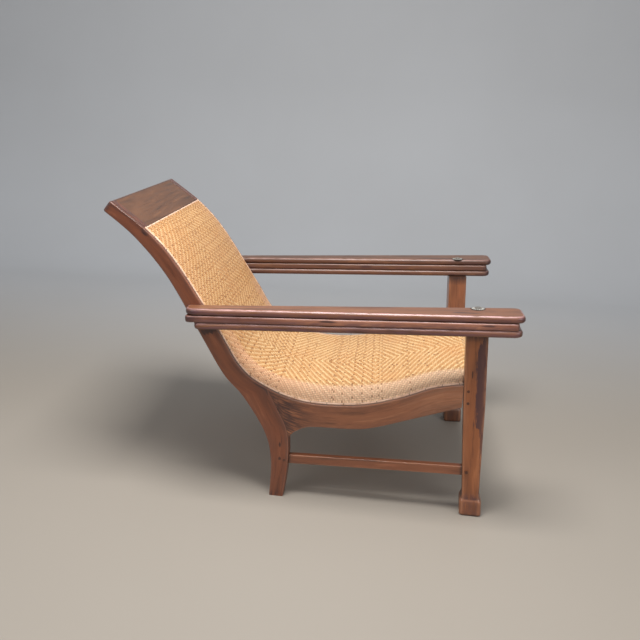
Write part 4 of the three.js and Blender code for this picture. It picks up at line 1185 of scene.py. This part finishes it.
def headBeadShape():
    # the same strip laid straight across the chair below the head panel
    across, up = beadLoop()
    place = seatPlace((seat["headWidth"] + seat["groove"] / 2 + across) / seatLength, up)
    reach = halfWidth(place[:, 0]) - matStart - 2 * fit
    spread = np.linspace(-1, 1, bead["headRows"])[:, None]
    rings = acrossChair(place[:, 0], spread * reach, place[:, 1])
    return rings, stacked(spread * bead["grainRun"], across, up) * millimetre, wearOn(rings)


def beadFinish(name):
    # pale strands along the strip, brown stains and a dark dot at each pin
    finish = Finish(name, IOR=1.48)
    place = finish.attribute("grain")
    strands = finish.noise(place, (40, 900, 900), 3, 0.6)
    stains = finish.noise(place, (30, 30, 30), 3, 0.6)
    pin = finish.parts(finish.attribute("wear"))[2]
    finish.colour = finish.ramp(strands, ((0.3, tone(204, 158, 128)), (0.5, tone(230, 192, 164)),
                                          (0.7, tone(246, 218, 196))))
    finish.lay(stains.step(0.52, 0.72), tone(168, 112, 74))
    finish.lay(pin.step(0.5, 1.0) * 0.8, tone(70, 40, 26))
    return finish.done(stains * 0.25 + 0.35, strands, 0.4, 0.0004)


beadCane = beadFinish("cane_bead")
skinPair("side_bead", sideBeadShape(), beadCane, "cane_bead")
skin("head_bead_cane", headBeadShape(), beadCane, "chair_frame", "cane_bead", "head_bead")
print("beads")


# Floor and light

studio = {
    "floor": tone(157, 149, 139), "wall": tone(198, 200, 203), "size": 9.0, "back": 3.4, "bend": 1.2,
    "height": 3.2, "sky": (0.8, 0.82, 0.85, 1), "skyPower": 0.46, "aim": (0, 0, 0.35),
}
lamps = {
    "above": {"place": (-0.75, 0.05, 2.65), "size": 1.0, "power": 78.0, "tint": (1.0, 0.985, 0.96)},
    "front": {"place": (-2.6, -2.6, 1.9), "size": 2.0, "power": 36.0, "tint": (1.0, 0.97, 0.93)},
    "side": {"place": (-2.8, 2.4, 2.2), "size": 2.0, "power": 30.0, "tint": (0.97, 0.98, 1.0)},
}


def stageFinish(name):
    # the floor's tone goes over to the wall's with distance, both clouded by slow noise
    finish = Finish(name, Roughness=0.62)
    place = finish.objectPlace()
    red, green, blue, _ = studio["floor"]
    finish.colour = finish.mix(finish.parts(place)[0].step(0.2, 2.6), studio["floor"], studio["wall"])
    finish.lay(finish.noise(place, (1.1, 1.1, 1.1), 3, 0.5) * 0.16, (red * 0.6, green * 0.6, blue * 0.6, 1))
    finish.feed(finish.shader.inputs["Base Color"], finish.colour)
    return finish.material


def makeStage():
    # a floor that bends up into a plain wall behind the chair
    turn = np.linspace(0, math.pi / 2, 24)
    bend, wall = studio["bend"], studio["back"]
    x = np.concatenate([[-studio["size"]], wall - bend + bend * np.sin(turn), [wall]])
    z = np.concatenate([[0], bend - bend * np.cos(turn), [studio["height"]]])
    points = stacked(x[:, None], (-studio["size"], studio["size"]), z[:, None]).reshape(-1, 3)
    index = gridIndex(len(x), 2, 0)
    faces = np.stack([index[:-1, 0], index[1:, 0], index[1:, 1], index[:-1, 1]], -1).tolist()
    makeMesh("stage", points, faces, stageFinish("plain_stage"))


def addLight(name, values):
    # a square lamp that points at the chair
    lamp = bpy.data.lights.new(name, "AREA")
    lamp.size, lamp.energy, lamp.color = values["size"], values["power"], values["tint"]
    made = addObject(name, lamp)
    made.location = values["place"]
    aim = Vector(studio["aim"]) - Vector(values["place"])
    made.rotation_euler = aim.to_track_quat("-Z", "Y").to_euler()


makeStage()
for name, values in lamps.items():
    addLight(name, values)
world = bpy.data.worlds.new("soft_grey")
world.use_nodes = True
background = world.node_tree.nodes["Background"]
background.inputs[0].default_value = studio["sky"]
background.inputs[1].default_value = studio["skyPower"]
bpy.context.scene.world = world
bpy.context.scene.view_settings.view_transform = "Standard"
print("floor and lights")
